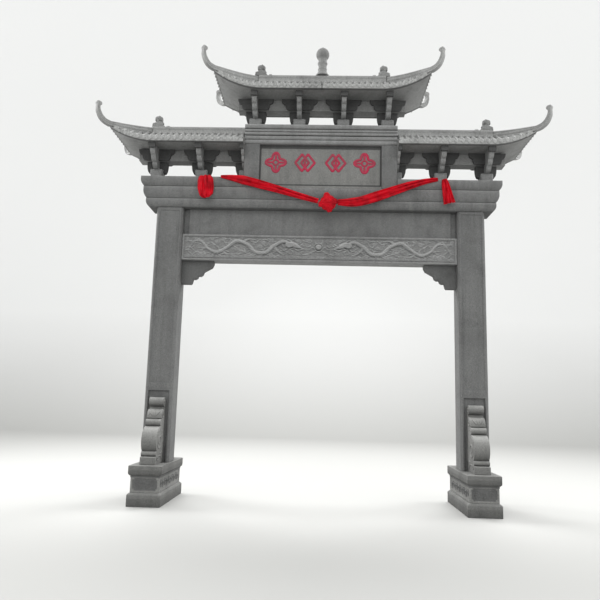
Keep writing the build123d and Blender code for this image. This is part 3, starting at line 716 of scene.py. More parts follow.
def add_ridge(patches, start, end, low, collars):
    """A ridge: a foot, a hollow waist, a bead and a rounded cap, carried along X past a few collars."""
    half = np.array([(0.088, -0.012), (0.090, 0.026), (0.082, 0.034), (0.074, 0.040), (0.071, 0.058),
                     (0.071, 0.082), (0.074, 0.090), (0.078, 0.096), (0.082, 0.106), (0.082, 0.128),
                     (0.074, 0.141), (0.058, RIDGE_TOP), (0.030, RIDGE_TOP + 0.002)])
    ring = mirrored(half)
    collar = np.array([-0.028, -0.026, 0.026, 0.028])
    stops = np.concatenate([[start], *(place + collar for place in collars), [end]])
    proud = np.concatenate([[0.0], *([0.0, 1.0, 1.0, 0.0] for place in collars), [0.0]])[:, None]
    patches.tube(spread(stops[:, None], ring[:, 0] * (1 + 0.09 * proud),
                        low + ring[:, 1] + 0.012 * proud * (ring[:, 1] > 0.1)))


def hip_curves(roof):
    """Lower and upper lines of a hip and its horn as (distance along the hip, height) arrays. The upper
    line falls from the ridge, then both swing up to a round tip. A horn's points are shares of its reach
    and rise."""
    reach, rise, tip, thick = roof.horn_reach, 0.338, 0.041, 0.094
    length = hypot(roof.corner - roof.ridge_end, roof.corner_reach)
    base = roof.soffit + roof.lift
    knob = np.array([length + reach - 0.6 * tip, base + rise])
    share = np.linspace(0, 1, HIP_POINTS)
    out, top = roof.hip(roof.ridge_end + share * (roof.corner - roof.ridge_end))
    lower_hip = np.stack([share * length, top - 0.03 - 0.03 * (1 - share)], axis=1)
    upper_hip = through([(0, roof.ridge_low + RIDGE_TOP), (0.45 * length, roof.ridge_low + 0.066),
                         (length, base + thick)], HIP_POINTS)

    def horn(first, *shares):
        """A line from the hip's end through points at shares of the horn's reach and rise."""
        return through([first] + [(length + a * reach, base + b * rise) for a, b in shares], HORN_POINTS)

    lower_horn = horn((length, base), (0.42, 0.075), (0.78, 0.25), (1.02, 0.60), (1.03, 0.89))
    upper_horn = horn((length, base + thick), (0.36, 0.33), (0.62, 0.48), (0.78, 0.69), (0.81, 0.86))
    turn = np.linspace(-0.7, 1.45, 10)[1:]
    lower_tip = knob + tip * circle(turn)
    upper_tip = knob + tip * np.stack([-1.28 * np.cos(turn), np.sin(turn) - 0.12 * np.cos(turn)], axis=1)
    return (np.concatenate([lower_hip, lower_horn[1:], lower_tip]),
            np.concatenate([upper_hip, upper_horn[1:], upper_tip]))


def add_hip(patches, roof, turn, face):
    """A moulded hip with its horn: a profile with two grooves a side, stretched between two lines."""
    lower, upper = hip_curves(roof)
    angle = atan2(roof.corner_reach, roof.corner - roof.ridge_end)
    side = np.array([(0.62, 0.0), (1.0, 0.05), (1.0, 0.28), (0.80, 0.34), (0.80, 0.42), (0.96, 0.48),
                     (0.96, 0.64), (0.78, 0.70), (0.78, 0.76), (0.90, 0.82), (0.84, 0.94), (0.5, 1.0)])
    ring = mirrored(side)
    count = len(lower)
    wide = np.interp(np.arange(count), [0, HIP_POINTS, 2 * HIP_POINTS, count - 1],
                     [0.038, 0.038, 0.037, 0.038])
    wide[-6:] *= np.cos(np.linspace(0, 1.3, 6))
    along = lower[:, None] + (upper - lower)[:, None] * ring[None, :, 1:]
    across = wide[:, None] * ring[None, :, 0]
    x = roof.ridge_end + along[..., 0] * cos(angle) + across * sin(angle)
    y = along[..., 0] * sin(angle) - across * cos(angle)
    patches.tube(spread(x, y, along[..., 1]) * np.array([turn, face, 1]))


class GATEWAY_OT_ridges(bpy.types.Operator):
    """Sets the moulded ridges, and the hips that sweep up into horns"""
    bl_idname = "gateway.ridges"
    bl_label = "Set the ridges and horns"

    def execute(self, context):
        for name, collars in (("center", (-0.915, 0.915)), ("left", (-2.680,)), ("right", (2.680,))):
            low, high = box_of(f"{name}_ridge")
            patches = Patches()
            add_ridge(patches, low[0], high[0], low[2], collars)
            patches.piece(f"{name}_ridge_stone", 30, "ridge_stone", "roof_stone", (f"{name}_ridge",))
        for name, side in SIDES.items():
            for node, roof in ((f"center_hips_{name}", center_shape()), (f"{name}_hips", side_shape())):
                patches = Patches()
                for face in FACES.values():
                    add_hip(patches, roof, side, face)
                patches.piece(f"{node}_stone", 38, "ridge_stone", "roof_stone", (node,))
        return {"FINISHED"}


# Plain stone
# How a node's name begins or ends: its finish, its slot, and its rounding as a share of the worn edge
PLAIN_STONES = {
    "base_die": ("die_stone", "base_stone", 1.3),
    "base_": ("base_stone", "base_stone", 1.3),
    "beam_": ("moulding_stone", "granite", 0.7),
    "pillar": ("granite", "granite", 1.0),
    "block_post": ("granite", "granite", 1.0),
    "lintel_panel": ("granite", "granite", 1.0),
    # Corner brackets in shaded stone: painted shade under the lintel.
    "corner_bracket": ("shaded_stone", "granite", 1.0),
    "carved_lintel": ("lintel_stone", "granite", 1.0),
    "eave_beam": ("roof_stone", "granite", 0.9),
}


class GATEWAY_OT_plain_stone(bpy.types.Operator):
    """Dresses the plain stones: bases, pillars, corner brackets, beam, block and eave beams, with worn
    edges"""
    bl_idname = "gateway.plain_stone"
    bl_label = "Dress the plain stones"

    def execute(self, context):
        edge = context.scene.gateway_carving.edge
        for node in sorted(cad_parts):
            kinds = [kind for kind in PLAIN_STONES if node.startswith(kind) or node.endswith(kind)]
            if kinds:
                stone_name, slot, share = PLAIN_STONES[kinds[0]]
                dressed_node(node, stone_name, edge * share)
        return {"FINISHED"}


# Bracket sets
def add_prism(patches, outline, start, end, axis):
    """An outline of (across, up) points carried from start to end along X, axis 0, or Y, axis 1."""
    outline = np.asarray(outline, float)
    rings = np.empty((2, len(outline), 3))
    rings[..., axis] = np.array([start, end])[:, None]
    rings[..., 1 - axis] = outline[:, 0]
    rings[..., 2] = outline[:, 1]
    patches.tube(rings)


def arm_outline(x, half, low, high, lean):
    """The front view of a cross arm: upright ends that round in by lean to a narrower foot."""
    turn = np.linspace(0, pi / 2, 7)
    side = np.stack([half - lean * (1 - np.cos(turn)), low + 0.8 * (high - low) * (1 - np.sin(turn))], axis=1)
    return mirrored(np.concatenate([[(half, high)], side])) + np.array([x, 0])


def stepped_outline(low):
    """The side view of the arm that carries the eave: three quarter rounds, each further out and higher."""
    turn = np.linspace(0, pi / 2, 6)[::-1]
    places = np.array([(0.135, 0.205), (0.235, 0.287), (0.330, 0.375), (0.415, 0.462)])
    rounds = [place + (further - place) * np.stack([np.sin(turn), 1 - np.cos(turn)], axis=1)
              for place, further in zip(places[-2::-1], places[:0:-1])]
    return mirrored(np.concatenate([[(0.415, 0.550)], *rounds])) + np.array([0, low])


def add_set(pale, dark, x, low):
    """One bracket set: a flared block and the stepped arm in pale stone, the cross arms and bosses in
    darker stone, painted shade under the eave.
    The block's rings are circles whose cosines and sines are raised to a power, which makes them nearly
    square."""
    square = circle(np.linspace(0, 2 * pi, 32, endpoint=False))
    square = np.sign(square) * np.abs(square) ** 0.2
    half = np.array([0.096, 0.100, 0.100, 0.100, 0.101, 0.104, 0.1075, 0.1075, 0.104, 0.098])[:, None]
    level = np.array([0.000, 0.006, 0.035, 0.085, 0.108, 0.118, 0.128, 0.198, 0.207, 0.210])[:, None]
    arm_low, arm_high, upper_high, boss_level = low + 0.355, low + 0.453, low + 0.550, low + 0.504
    pale.tube(spread(half * square[:, 0] + x, half * square[:, 1], level + low))
    add_prism(pale, stepped_outline(low), x - 0.040, x + 0.040, 0)
    add_prism(dark, arm_outline(x, 0.177, low + 0.158, low + 0.353, 0.045), -0.048, 0.048, 1)
    boss = np.array([x, boss_level]) + square * np.array([0.060, 0.043])
    for face in FACES.values():
        near, far = face * 0.107, face * 0.144
        add_prism(dark, arm_outline(x, 0.244, arm_low, arm_high, 0.052), near, far, 1)
        add_prism(dark, arm_outline(x, 0.309, arm_high, upper_high, 0.060), near, far, 1)
        add_prism(dark, boss, face * 0.410, face * 0.469, 1)


class GATEWAY_OT_bracket_sets(bpy.types.Operator):
    """Builds the bracket sets under the three roofs; the sets at the block are cut off flush with it"""
    bl_idname = "gateway.bracket_sets"
    bl_label = "Build the bracket sets"

    def execute(self, context):
        edge = context.scene.gateway_carving.edge
        rows = {"center": (-1.1475, -0.3825, 0.3825, 1.1475)}
        for name, side in SIDES.items():
            rows[name] = (side * BLOCK_HALF, side * 2.050, side * 2.830)
        for name, places in rows.items():
            node = f"{name}_bracket_sets"
            low, high = box_of(node)
            pale, dark = Patches(), Patches()
            for x in places:
                add_set(pale, dark, x, low[2])
            # The arms and bosses take the darker stone: painted shade under the eave.
            for kind, patches, stone_name in (("blocks", pale, "block_stone"), ("arms", dark, "dark_stone")):
                for points in patches.points:
                    np.clip(points[:, 0], low[0], high[0], out=points[:, 0])
                piece = patches.piece(f"{name}_bracket_{kind}", 35, stone_name, "granite", (node,))
                bevelled(piece, edge * 0.7)
        return {"FINISHED"}


class GATEWAY_OT_cornice(bpy.types.Operator):
    """Carves the cornice: five rounded bands with a shallow or a deep groove over each"""
    bl_idname = "gateway.cornice"
    bl_label = "Carve the cornice"

    def execute(self, context):
        low, high = box_of("cornice")
        bands = ((0.078, 0.312, 0.016), (0.077, 0.316, 0.034), (0.056, 0.328, 0.016), (0.051, 0.333, 0.034),
                 (0.088, 0.346, 0.034))
        lip, bow, end_round = 0.004, 1.25, 0.006
        turn = np.linspace(-bow, bow, 11)
        half = []
        level = low[2]
        for height, reach, groove in bands:
            y = reach - 0.3 * height * (1 - np.cos(turn))
            z = level + height / 2 + (height / 2 - lip) * np.sin(turn) / sin(bow)
            half.append(np.stack([y, z], axis=1))
            level += height
            sunk = reach - groove
            half.append(np.array([(sunk, level - lip), (sunk, min(level + lip, high[2]))]))
        ring = mirrored(np.concatenate([[(half[0][0, 0], low[2])], *half]))
        stops = np.array([low[0], low[0] + end_round, high[0] - end_round, high[0]])[:, None]
        shrink = np.array([0.988, 1, 1, 0.988])[:, None]
        patches = Patches()
        patches.tube(spread(stops, shrink * ring[:, 0], ring[:, 1]))
        mesh = patches.mesh("cornice_stone", 30)
        # Each point's height within its band: painted shade at a band's foot, painted light along its top.
        level = points_of(mesh)[:, 2] - low[2]
        foot = np.cumsum([0.0] + [height for height, reach, groove in bands])
        band = np.clip(np.searchsorted(foot, level - 0.001) - 1, 0, len(bands) - 1)
        store_share(mesh, (level - foot[band]) / np.diff(foot)[band])
        new_piece(mesh.name, mesh, finish("cornice_stone"), ("cornice",))
        return {"FINISHED"}


def add_box(patches, low, high):
    """A box between its lowest and its highest corner."""
    low, high = np.asarray(low, float), np.asarray(high, float)
    flat = low[:2] + np.array([(0, 0), (1, 0), (1, 1), (0, 1)]) * (high - low)[:2]
    patches.tube(np.stack([np.column_stack([flat, np.full(4, z)]) for z in (low[2], high[2])]))


class GATEWAY_OT_name_panel(bpy.types.Operator):
    """Sets the name panel on its sill, with strips of dark stone round it: painted shadow under the cornice
    along the top, painted shade down both sides, and a dark joint over the sill
    """
    bl_idname = "gateway.name_panel"
    bl_label = "Set the name panel"

    def execute(self, context):
        low, high = box_of("name_panel")
        sill, groove, joint, shadow = 0.044, 0.026, 0.034, 0.056
        front = PANEL_FACE + 0.002
        slab, grooves = Patches(), Patches()
        add_box(slab, (low[0], -PANEL_FACE, low[2]), (high[0], PANEL_FACE, high[2]))
        add_box(slab, (low[0], low[1], low[2]), (high[0], high[1], low[2] + sill))
        foot, top = low[2] + sill + joint, high[2] - shadow
        # Strips of dark stone: painted shadow under the cornice along the top, painted shade down the sides,
        # groove wide; the lowest is a dark joint over the sill.
        for left, bottom, right, upper in (
                (low[0], foot, low[0] + groove, top), (high[0] - groove, foot, high[0], top),
                (low[0], top, high[0], high[2]), (low[0], low[2] + sill, high[0], foot)):
            add_box(grooves, (left, -front, bottom), (right, front, upper))
        bevelled(slab.piece("name_panel_stone", 30, "panel_stone", "granite", ("name_panel",)),
                 context.scene.gateway_carving.edge)
        grooves.piece("name_panel_groove", 30, "dark_stone", "granite")
        return {"FINISHED"}


# Ornaments on the ridges
def add_blob(patches, center, radii, power=1.0):
    """A rounded lump: an ellipsoid whose cosines are raised to a power, below 1 for a boxier one."""
    up = np.linspace(-pi / 2, pi / 2, 15)[:, None]
    around = np.linspace(0, 2 * pi, 24, endpoint=False)[None, :]

    def curve(values):
        return np.sign(values) * np.abs(values) ** power

    shape = spread(curve(np.cos(up)) * curve(np.cos(around)), curve(np.cos(up)) * curve(np.sin(around)),
                   curve(np.sin(up)))
    patches.grid(np.asarray(center) + shape * np.asarray(radii), wrap_columns=True)


def melted(name, patches, cell, rounds):
    """Lumps melted into one skin: a voxel remesh of a few millimetres, then a little smoothing."""
    raw = bpy.data.objects.new(name, patches.mesh(name, 180))
    bpy.context.scene.collection.objects.link(raw)
    remesh = raw.modifiers.new("melt", "REMESH")
    remesh.mode = "VOXEL"
    remesh.voxel_size = cell
    soften = raw.modifiers.new("soften", "SMOOTH")
    soften.factor = 0.5
    soften.iterations = rounds
    bpy.context.view_layer.update()
    shape = bpy.data.meshes.new_from_object(raw.evaluated_get(bpy.context.evaluated_depsgraph_get()))
    bpy.data.objects.remove(raw)
    shape.shade_smooth()
    shape.name = name
    return shape


def add_beast(patches, middle, low, facing):
    """A seated ridge beast: spread foot, haunch, chest, round head with brow, muzzle and curls, raised
    paws. Each lump has its place and half sizes as shares of the beast's, and its power; one off the middle
    is twofold."""
    size = np.array([0.250, 0.110, 0.215])
    lumps = (
        ((0.02, 0, 0.10), (0.42, 0.46, 0.13), 0.6), ((-0.30, 0, 0.05), (0.18, 0.40, 0.05), 0.7),
        ((0.04, 0, 0.24), (0.30, 0.46, 0.16), 0.8), ((0.03, 0, 0.42), (0.19, 0.40, 0.16), 1),
        ((0.04, 0, 0.77), (0.29, 0.48, 0.228), 0.9), ((-0.02, 0, 0.36), (0.32, 0.44, 0.16), 0.9),
        ((0.16, 0, 0.30), (0.26, 0.42, 0.18), 0.9), ((0.24, 0, 0.66), (0.08, 0.30, 0.10), 0.8),
        ((0.22, 0.20, 0.84), (0.07, 0.13, 0.05), 1), ((-0.03, 0.36, 0.90), (0.07, 0.10, 0.08), 1),
        ((-0.19, 0, 0.62), (0.06, 0.36, 0.12), 1), ((-0.16, 0, 0.80), (0.06, 0.34, 0.10), 1),
        ((0.36, 0.20, 0.24), (0.12, 0.20, 0.15), 0.9), ((0.44, 0, 0.10), (0.06, 0.40, 0.10), 0.8),
        ((-0.14, 0.34, 0.20), (0.14, 0.14, 0.14), 1), ((0.10, 0.34, 0.55), (0.08, 0.12, 0.08), 1),
    )
    for place, half, power in lumps:
        for mirror in (1, -1) if place[1] else (1,):
            center = np.array([middle, 0, low]) + np.array([facing, mirror, 1]) * place * size
            add_blob(patches, center, half * size, power)


class GATEWAY_OT_beasts(bpy.types.Operator):
    """Seats a small beast near each end of the ridges"""
    bl_idname = "gateway.beasts"
    bl_label = "Seat the ridge beasts"

    def execute(self, context):
        half_length, cell, rounds = 0.125, 0.0055, 4
        for node, ends in (("center_ridge_beasts", (-1, 1)), ("left_ridge_beast", (-1,)),
                           ("right_ridge_beast", (1,))):
            low, high = box_of(node)
            patches = Patches()
            for side in ends:
                middle = low[0] + half_length if side < 0 else high[0] - half_length
                add_beast(patches, middle, low[2], side)
            name = f"{node}_carved"
            new_piece(name, melted(name, patches, cell, rounds), finish("roof_stone"), (node,))
        return {"FINISHED"}


class GATEWAY_OT_finial(bpy.types.Operator):
    """Turns the finial: a petalled foot, a ringed neck and a pearl with a small point"""
    bl_idname = "gateway.finial"
    bl_label = "Turn the finial"

    def execute(self, context):
        low, high = box_of("finial")
        foot = np.array([(0.020, 0.0), (0.122, 0.0), (0.126, 0.012), (0.120, 0.026), (0.108, 0.040),
                         (0.098, 0.060), (0.088, 0.084), (0.080, 0.108), (0.077, 0.124), (0.081, 0.134),
                         (0.082, 0.142), (0.076, 0.152), (0.073, 0.170), (0.073, 0.200), (0.076, 0.226),
                         (0.085, 0.240), (0.088, 0.254), (0.085, 0.268), (0.079, 0.280), (0.077, 0.300),
                         (0.081, 0.322)])
        pearl_radius, pearl_level = 0.118, 0.428
        turn = np.linspace(0.74, 2.86, 16)
        pearl = np.stack([pearl_radius * np.sin(turn), pearl_level - pearl_radius * np.cos(turn)], axis=1)
        point = np.array([(0.022, 0.552), (0.010, 0.566), (0.002, high[2] - low[2])])
        reach, level = np.concatenate([foot, pearl, point]).T[:, :, None]
        around = np.linspace(0, 2 * pi, 64, endpoint=False)
        petals = 0.05 * np.exp(-((level - 0.055) / 0.03) ** 2)
        flutes = 0.05 * np.exp(-((level - 0.318) / 0.02) ** 2)
        radius = reach * (1 - petals * np.abs(np.sin(4 * around)) - flutes * np.abs(np.sin(5 * around)))
        patches = Patches()
        patches.tube(spread(radius * np.cos(around), radius * np.sin(around), low[2] + level))
        patches.piece("finial_turned", 50, "roof_stone", "roof_stone", ("finial",))
        return {"FINISHED"}


# Raised lines on flat stone
def add_stroke(patches, curve, place, width, height, taper=0.5):
    """A raised line on a face: half an ellipse across, thinner at both ends.
    place maps arrays (u, v, out) on the face to points of the gateway."""
    forward = unit(np.gradient(curve, axis=0))
    aside = np.stack([-forward[:, 1], forward[:, 0]], axis=1)
    t = np.linspace(0, 1, len(curve))
    size = (1 - taper * np.abs(2 * t - 1) ** 3)[:, None]
    turn = np.linspace(0, pi, 7)
    across = np.concatenate([[1.0], np.cos(turn), [-1.0]]) * width / 2
    out = np.concatenate([[-0.25], np.sin(turn), [-0.25]]) * height
    flat = curve[:, None] + aside[:, None] * (size * across)[..., None]
    patches.tube(place(flat[..., 0], flat[..., 1], size * out))


def spiral(center, radius, turns, start, count=40):
    """A spiral that winds in from its radius to a small core; negative turns wind the other way."""
    core = 0.12
    t = np.linspace(0, 1, count)
    reach = radius * (1 - (1 - core) * t)
    return np.asarray(center) + reach[:, None] * circle(start + 2 * pi * turns * t)


def on_front(face, level):
    """Places (x, z, out) on a front or back face at the distance level from the middle plane."""
    return lambda u, v, out: np.stack([u, face * (level + out), v], axis=-1)


def on_side(turn, level, face=1):
    """Places (y, z, out) on a side face at x = level, facing turn; face -1 turns y round."""
    return lambda u, v, out: np.stack([level + turn * out, face * u, v], axis=-1)


class GATEWAY_OT_motifs(bpy.types.Operator):
    """Carves four painted motifs, quatrefoils and linked lozenges, in a row on the name panel"""
    bl_idname = "gateway.motifs"
    bl_label = "Carve the painted motifs"

    def execute(self, context):
        patches = Patches()
        face = on_front(-1, PANEL_FACE)
        level, height = 5.600, 0.012
        turn = np.linspace(0, 2 * pi, 73)
        petals = 0.132 * (1 + 0.28 * np.cos(4 * turn))[:, None] * circle(turn)
        tip = np.array([(-0.115, 0), (0, 0.150), (0.115, 0), (0, -0.150), (-0.115, 0)])
        lozenge = np.concatenate([np.linspace(a, b, 10) for a, b in zip(tip, tip[1:])])
        for x, flowered in ((-0.754, True), (-0.260, False), (0.258, False), (0.744, True)):
            center = np.array([x, level])
            if flowered:
                add_stroke(patches, center + petals, face, 0.046, height, 0)
                add_stroke(patches, center + 0.045 * circle(turn), face, 0.034, height, 0)
                for way in circle(np.arange(4) * pi / 2):
                    vein = center + np.linspace(0.05, 0.15, 8)[:, None] * way
                    add_stroke(patches, vein, face, 0.036, 0.011, 0.3)
            else:
                for shift in (-0.050, 0.050):
                    add_stroke(patches, center + lozenge + (shift, 0), face, 0.040, height, 0)
                add_stroke(patches, center + np.linspace((0, -0.05), (0, 0.05), 9), face, 0.036, height, 0.4)
        patches.piece("panel_motifs", 60, "red_paint", "red_cloth")
        return {"FINISHED"}


# Lintel relief
def tube_height(x, z, curve, radius, flat=0.55):
    """Height over a rounded line: a circle's height above its plane, where the line passes within its
    radius, and how far along the line that is."""
    gap = (x[:, None] - curve[None, :, 0]) ** 2 + (z[:, None] - curve[None, :, 1]) ** 2
    nearest = np.argmin(gap, axis=1)
    reach = np.broadcast_to(radius, (len(curve),))[nearest]
    height = np.sqrt(np.clip(reach ** 2 - gap[np.arange(len(x)), nearest], 0, None))
    return height * flat, nearest / max(1, len(curve) - 1)


# Lines of a dragon's head, crest, whiskers, legs, claws and tail, each with its half width, from the middle
DRAGON_LINES = (
    (((0.50, 0.250), (0.42, 0.255), (0.36, 0.235)), 0.050), (((0.40, 0.225), (0.30, 0.205)), 0.030),
    (((0.42, 0.195), (0.35, 0.160), (0.31, 0.165)), 0.014),
    (((0.43, 0.290), (0.52, 0.345), (0.62, 0.350)), 0.012),
    (((0.29, 0.215), (0.22, 0.255), (0.24, 0.305)), 0.008),
    (((0.30, 0.195), (0.22, 0.175), (0.19, 0.130)), 0.008),
    (((0.50, 0.210), (0.55, 0.160), (0.64, 0.150)), 0.014),
    (((0.48, 0.200), (0.50, 0.140), (0.57, 0.115)), 0.012),
    (((0.74, 0.235), (0.70, 0.150), (0.60, 0.085)), 0.020), (((0.60, 0.085), (0.53, 0.090)), 0.009),
    (((0.60, 0.085), (0.54, 0.065)), 0.009), (((0.60, 0.085), (0.58, 0.050)), 0.009),
    (((1.02, 0.120), (1.08, 0.060), (1.18, 0.060)), 0.018), (((1.18, 0.060), (1.25, 0.075)), 0.009),
    (((1.18, 0.060), (1.25, 0.045)), 0.009), (((1.26, 0.280), (1.18, 0.335), (1.08, 0.330)), 0.018),
    (((1.08, 0.330), (1.02, 0.350)), 0.009), (((1.08, 0.330), (1.01, 0.315)), 0.009),
    (((1.62, 0.145), (1.56, 0.080), (1.46, 0.070)), 0.016), (((1.46, 0.070), (1.40, 0.090)), 0.008),
    (((1.46, 0.070), (1.39, 0.055)), 0.008), (((2.16, 0.190), (2.20, 0.130), (2.15, 0.080)), 0.012),
    (((2.16, 0.190), (2.11, 0.140), (2.07, 0.120)), 0.010),
    (((2.17, 0.190), (2.22, 0.190), (2.24, 0.150)), 0.010),
)

# Clouds of the lintel: place, size, and the way that the scroll winds
CLOUDS = (
    (0.16, 0.315, 0.045, 1), (0.66, 0.345, 0.034, -1), (0.80, 0.330, 0.040, 1), (0.93, 0.285, 0.034, -1),
    (1.30, 0.115, 0.040, 1), (1.38, 0.170, 0.034, -1), (1.60, 0.325, 0.040, 1), (1.70, 0.290, 0.040, -1),
    (1.80, 0.335, 0.034, 1), (1.93, 0.090, 0.034, -1), (2.02, 0.070, 0.036, 1), (0.98, 0.210, 0.032, 1),
    (1.50, 0.260, 0.026, -1), (0.34, 0.325, 0.034, -1), (2.22, 0.330, 0.030, 1), (0.80, 0.080, 0.032, -1),
)


def relief_height(x, z):
    """Two dragons that face a flaming pearl over waves, among clouds. The same on both sides of the middle,
    so it works with the distance from it. Each form raises the ground to its own height, and the highest
    wins."""
    x = np.abs(x)
    body = through([(0.46, 0.235), (0.58, 0.305), (0.74, 0.235), (0.88, 0.115), (1.06, 0.115), (1.20, 0.245),
                    (1.38, 0.300), (1.54, 0.190), (1.70, 0.105), (1.86, 0.165), (1.98, 0.290), (2.10, 0.285),
                    (2.17, 0.180)], 260)
    radius = np.interp(np.linspace(0, 1, 260), [0, 0.15, 0.5, 0.85, 1], [0.028, 0.035, 0.034, 0.022, 0.010])
    height, along = tube_height(x, z, body, radius)
    scales = 1 + 0.16 * np.sin(along * 260) * np.sin(z * 190 + along * 60)
    forms = [height * scales]

    def line(points, count, first, last, gain=1.0):
        """A line whose half width runs from first to last."""
        forms.append(gain * tube_height(x, z, through(points, count), np.linspace(first, last, count))[0])

    for points, width in DRAGON_LINES:
        line(points, 30, 1.15 * width, 0.6 * width, 1.25)
    for cx, cz, size, way in CLOUDS:
        forms.append(1.1 * tube_height(x, z, spiral((cx, cz), size, 1.5 * way, 0.3, 44), 0.011)[0])
        tail = [(cx + size, cz), (cx + 1.7 * size, cz - 0.3 * size * way), (cx + 2.6 * size, cz)]
        line(tail, 16, 0.010, 0.004)
    pearl_level, pearl_radius, halo = 0.215, 0.052, 0.072
    from_pearl = np.hypot(x, z - pearl_level)
    forms.append(0.6 * np.sqrt(np.clip(pearl_radius ** 2 - from_pearl ** 2, 0, None)))
    forms.append(0.009 * (np.abs(from_pearl - halo) < 0.007))
    for flame in ([(0.05, 0.28), (0.07, 0.33), (0.03, 0.36)], [(0.08, 0.20), (0.13, 0.22), (0.15, 0.27)],
                  [(0.06, 0.15), (0.11, 0.13), (0.12, 0.09)]):
        line(flame, 20, 0.013, 0.004)
    chance = np.random.default_rng(11)
    sprays = 150
    drawn = [chance.uniform(low, high, sprays)
             for low, high in ((0.06, 0.36), (-0.8, 0.8), (0.05, 0.15), (0.007, 0.013))]
    for cx, cz, heading, length, width in zip(np.linspace(0.15, 2.26, sprays), *drawn):
        way = np.array([cos(heading), sin(heading)]) * length / 2
        bow = np.array([-way[1], way[0]]) * chance.uniform(-0.7, 0.7)
        line([(cx, cz) - way, (cx, cz) + bow, (cx, cz) + way], 14, 1.1 * width, 0.5 * width, 1.5)
    wave_spacing, wave_radius, ring_spacing = 0.11, 0.062, 0.0205
    for shift, lift in ((0.0, 0.0), (0.055, -0.012)):
        nearest = np.round((x - shift) / wave_spacing) * wave_spacing + shift
        ripple = np.hypot(x - nearest, z - lift)
        forms.append((ripple < wave_radius) * (0.0065 + 0.0045 * np.cos(ripple * 2 * pi / ring_spacing)))
    return np.max(forms, axis=0)


class GATEWAY_OT_lintel_relief(bpy.types.Operator):
    """Carves the lintel's relief, front and back, as a height over a fine grid"""
    bl_idname = "gateway.lintel_relief"
    bl_label = "Carve the lintel"

    def execute(self, context):
        carving = context.scene.gateway_carving
        low, high = box_of("carved_lintel")
        rim, ground_slope, seat = 0.034, 0.012, 0.004
        x, z = (np.linspace(low[axis] + rim, high[axis] - rim,
                            int((high[axis] - low[axis] - 2 * rim) / carving.grid)) for axis in (0, 2))
        grid_x, grid_z = np.meshgrid(x, z, indexing="ij")
        out = relief_height(grid_x.ravel(), (grid_z - z[0]).ravel()).reshape(grid_x.shape)
        rough = (0.0011 * np.sin(grid_x * 91 + 3 * np.sin(grid_z * 47))
                 * np.sin(grid_z * 83 + 2 * np.sin(grid_x * 31)))
        edge = np.min([grid_x - x[0], x[-1] - grid_x, grid_z - z[0], z[-1] - grid_z], axis=0)
        out = np.clip((out + rough) * np.clip(edge / ground_slope, 0, 1), 0.0, 0.96 * carving.relief)
        ground = high[1] - 0.026
        numbers = np.arange(out.size).reshape(out.shape)
        rim_ring = np.concatenate([numbers[:, 0], numbers[-1, 1:], numbers[-2::-1, -1], numbers[0, -2:0:-1]])
        for name, face in FACES.items():
            patches = Patches()
            patches.grid(np.stack([grid_x, face * (ground + 0.0005 + out), grid_z], axis=-1))
            border = patches.points[0][rim_ring]
            back = patches.grid(np.stack([border, border - np.array([0, face * seat, 0])]), wrap_columns=True)
            patches.cap(back + len(rim_ring) + np.arange(len(rim_ring)))
            mesh = patches.mesh(f"lintel_relief_{name}", 50)
            # The relief's height: painted shade on the sunk ground, painted light on the raised forms.
            store_share(mesh, (np.abs(points_of(mesh)[:, 1]) - ground) / carving.relief)
            new_piece(mesh.name, mesh, finish("carved_stone"))
        return {"FINISHED"}


# Scroll stones
def arc(center, radii, start, stop, count=14):
    """Points on an ellipse between two angles in degrees."""
    return np.asarray(center) + circle(np.radians(np.linspace(start, stop, count))) * radii


def scroll_outline(seat, foot):
    """The side view of a scroll stone, out from its seat: foot, roll, belly, roll, shoulder and top
    curl."""
    rounds = [
        [(seat, 0.0), (0.604, 0.0), (0.610, 0.006), (0.610, 0.108), (0.602, 0.118), (0.558, 0.120)],
        arc((0.545, 0.160), (0.036, 0.037), -80, 82),
        [(0.506, 0.199)],
        arc((0.400, 0.355), (0.200, 0.214), -46, 84, 26),
        [(0.392, 0.572)],
        arc((0.385, 0.626), (0.046, 0.053), -78, 80),
        [(0.352, 0.684), (0.356, 0.692)],
        arc(*SHOULDER, -4, 84, 20),
        [(0.222, 0.834), (0.218, 0.866)],
        arc((0.232, 0.950), (0.068, 0.070), -84, 150, 26),
        [(seat, 0.984)],
    ]
    return np.concatenate(rounds) + np.array([0, foot])


class GATEWAY_OT_scroll_stones(bpy.types.Operator):
    """Cuts the four scroll stones, with deep grooves between their rolls"""
    bl_idname = "gateway.scroll_stones"
    bl_label = "Cut the scroll stones"

    def execute(self, context):
        for name in SIDES:
            for end, face in FACES.items():
                node = f"scroll_stone_{end}_{name}"
                low, high = box_of(node)
                seat = np.abs([low[1], high[1]]).min()
                patches = Patches()
                add_prism(patches, scroll_outline(seat, low[2]) * np.array([face, 1]), low[0], high[0], 0)
                bevelled(patches.piece(f"{node}_stone", 32, "scroll_stone", "base_stone", (node,)),
                         context.scene.gateway_carving.edge, angle=50)
        return {"FINISHED"}


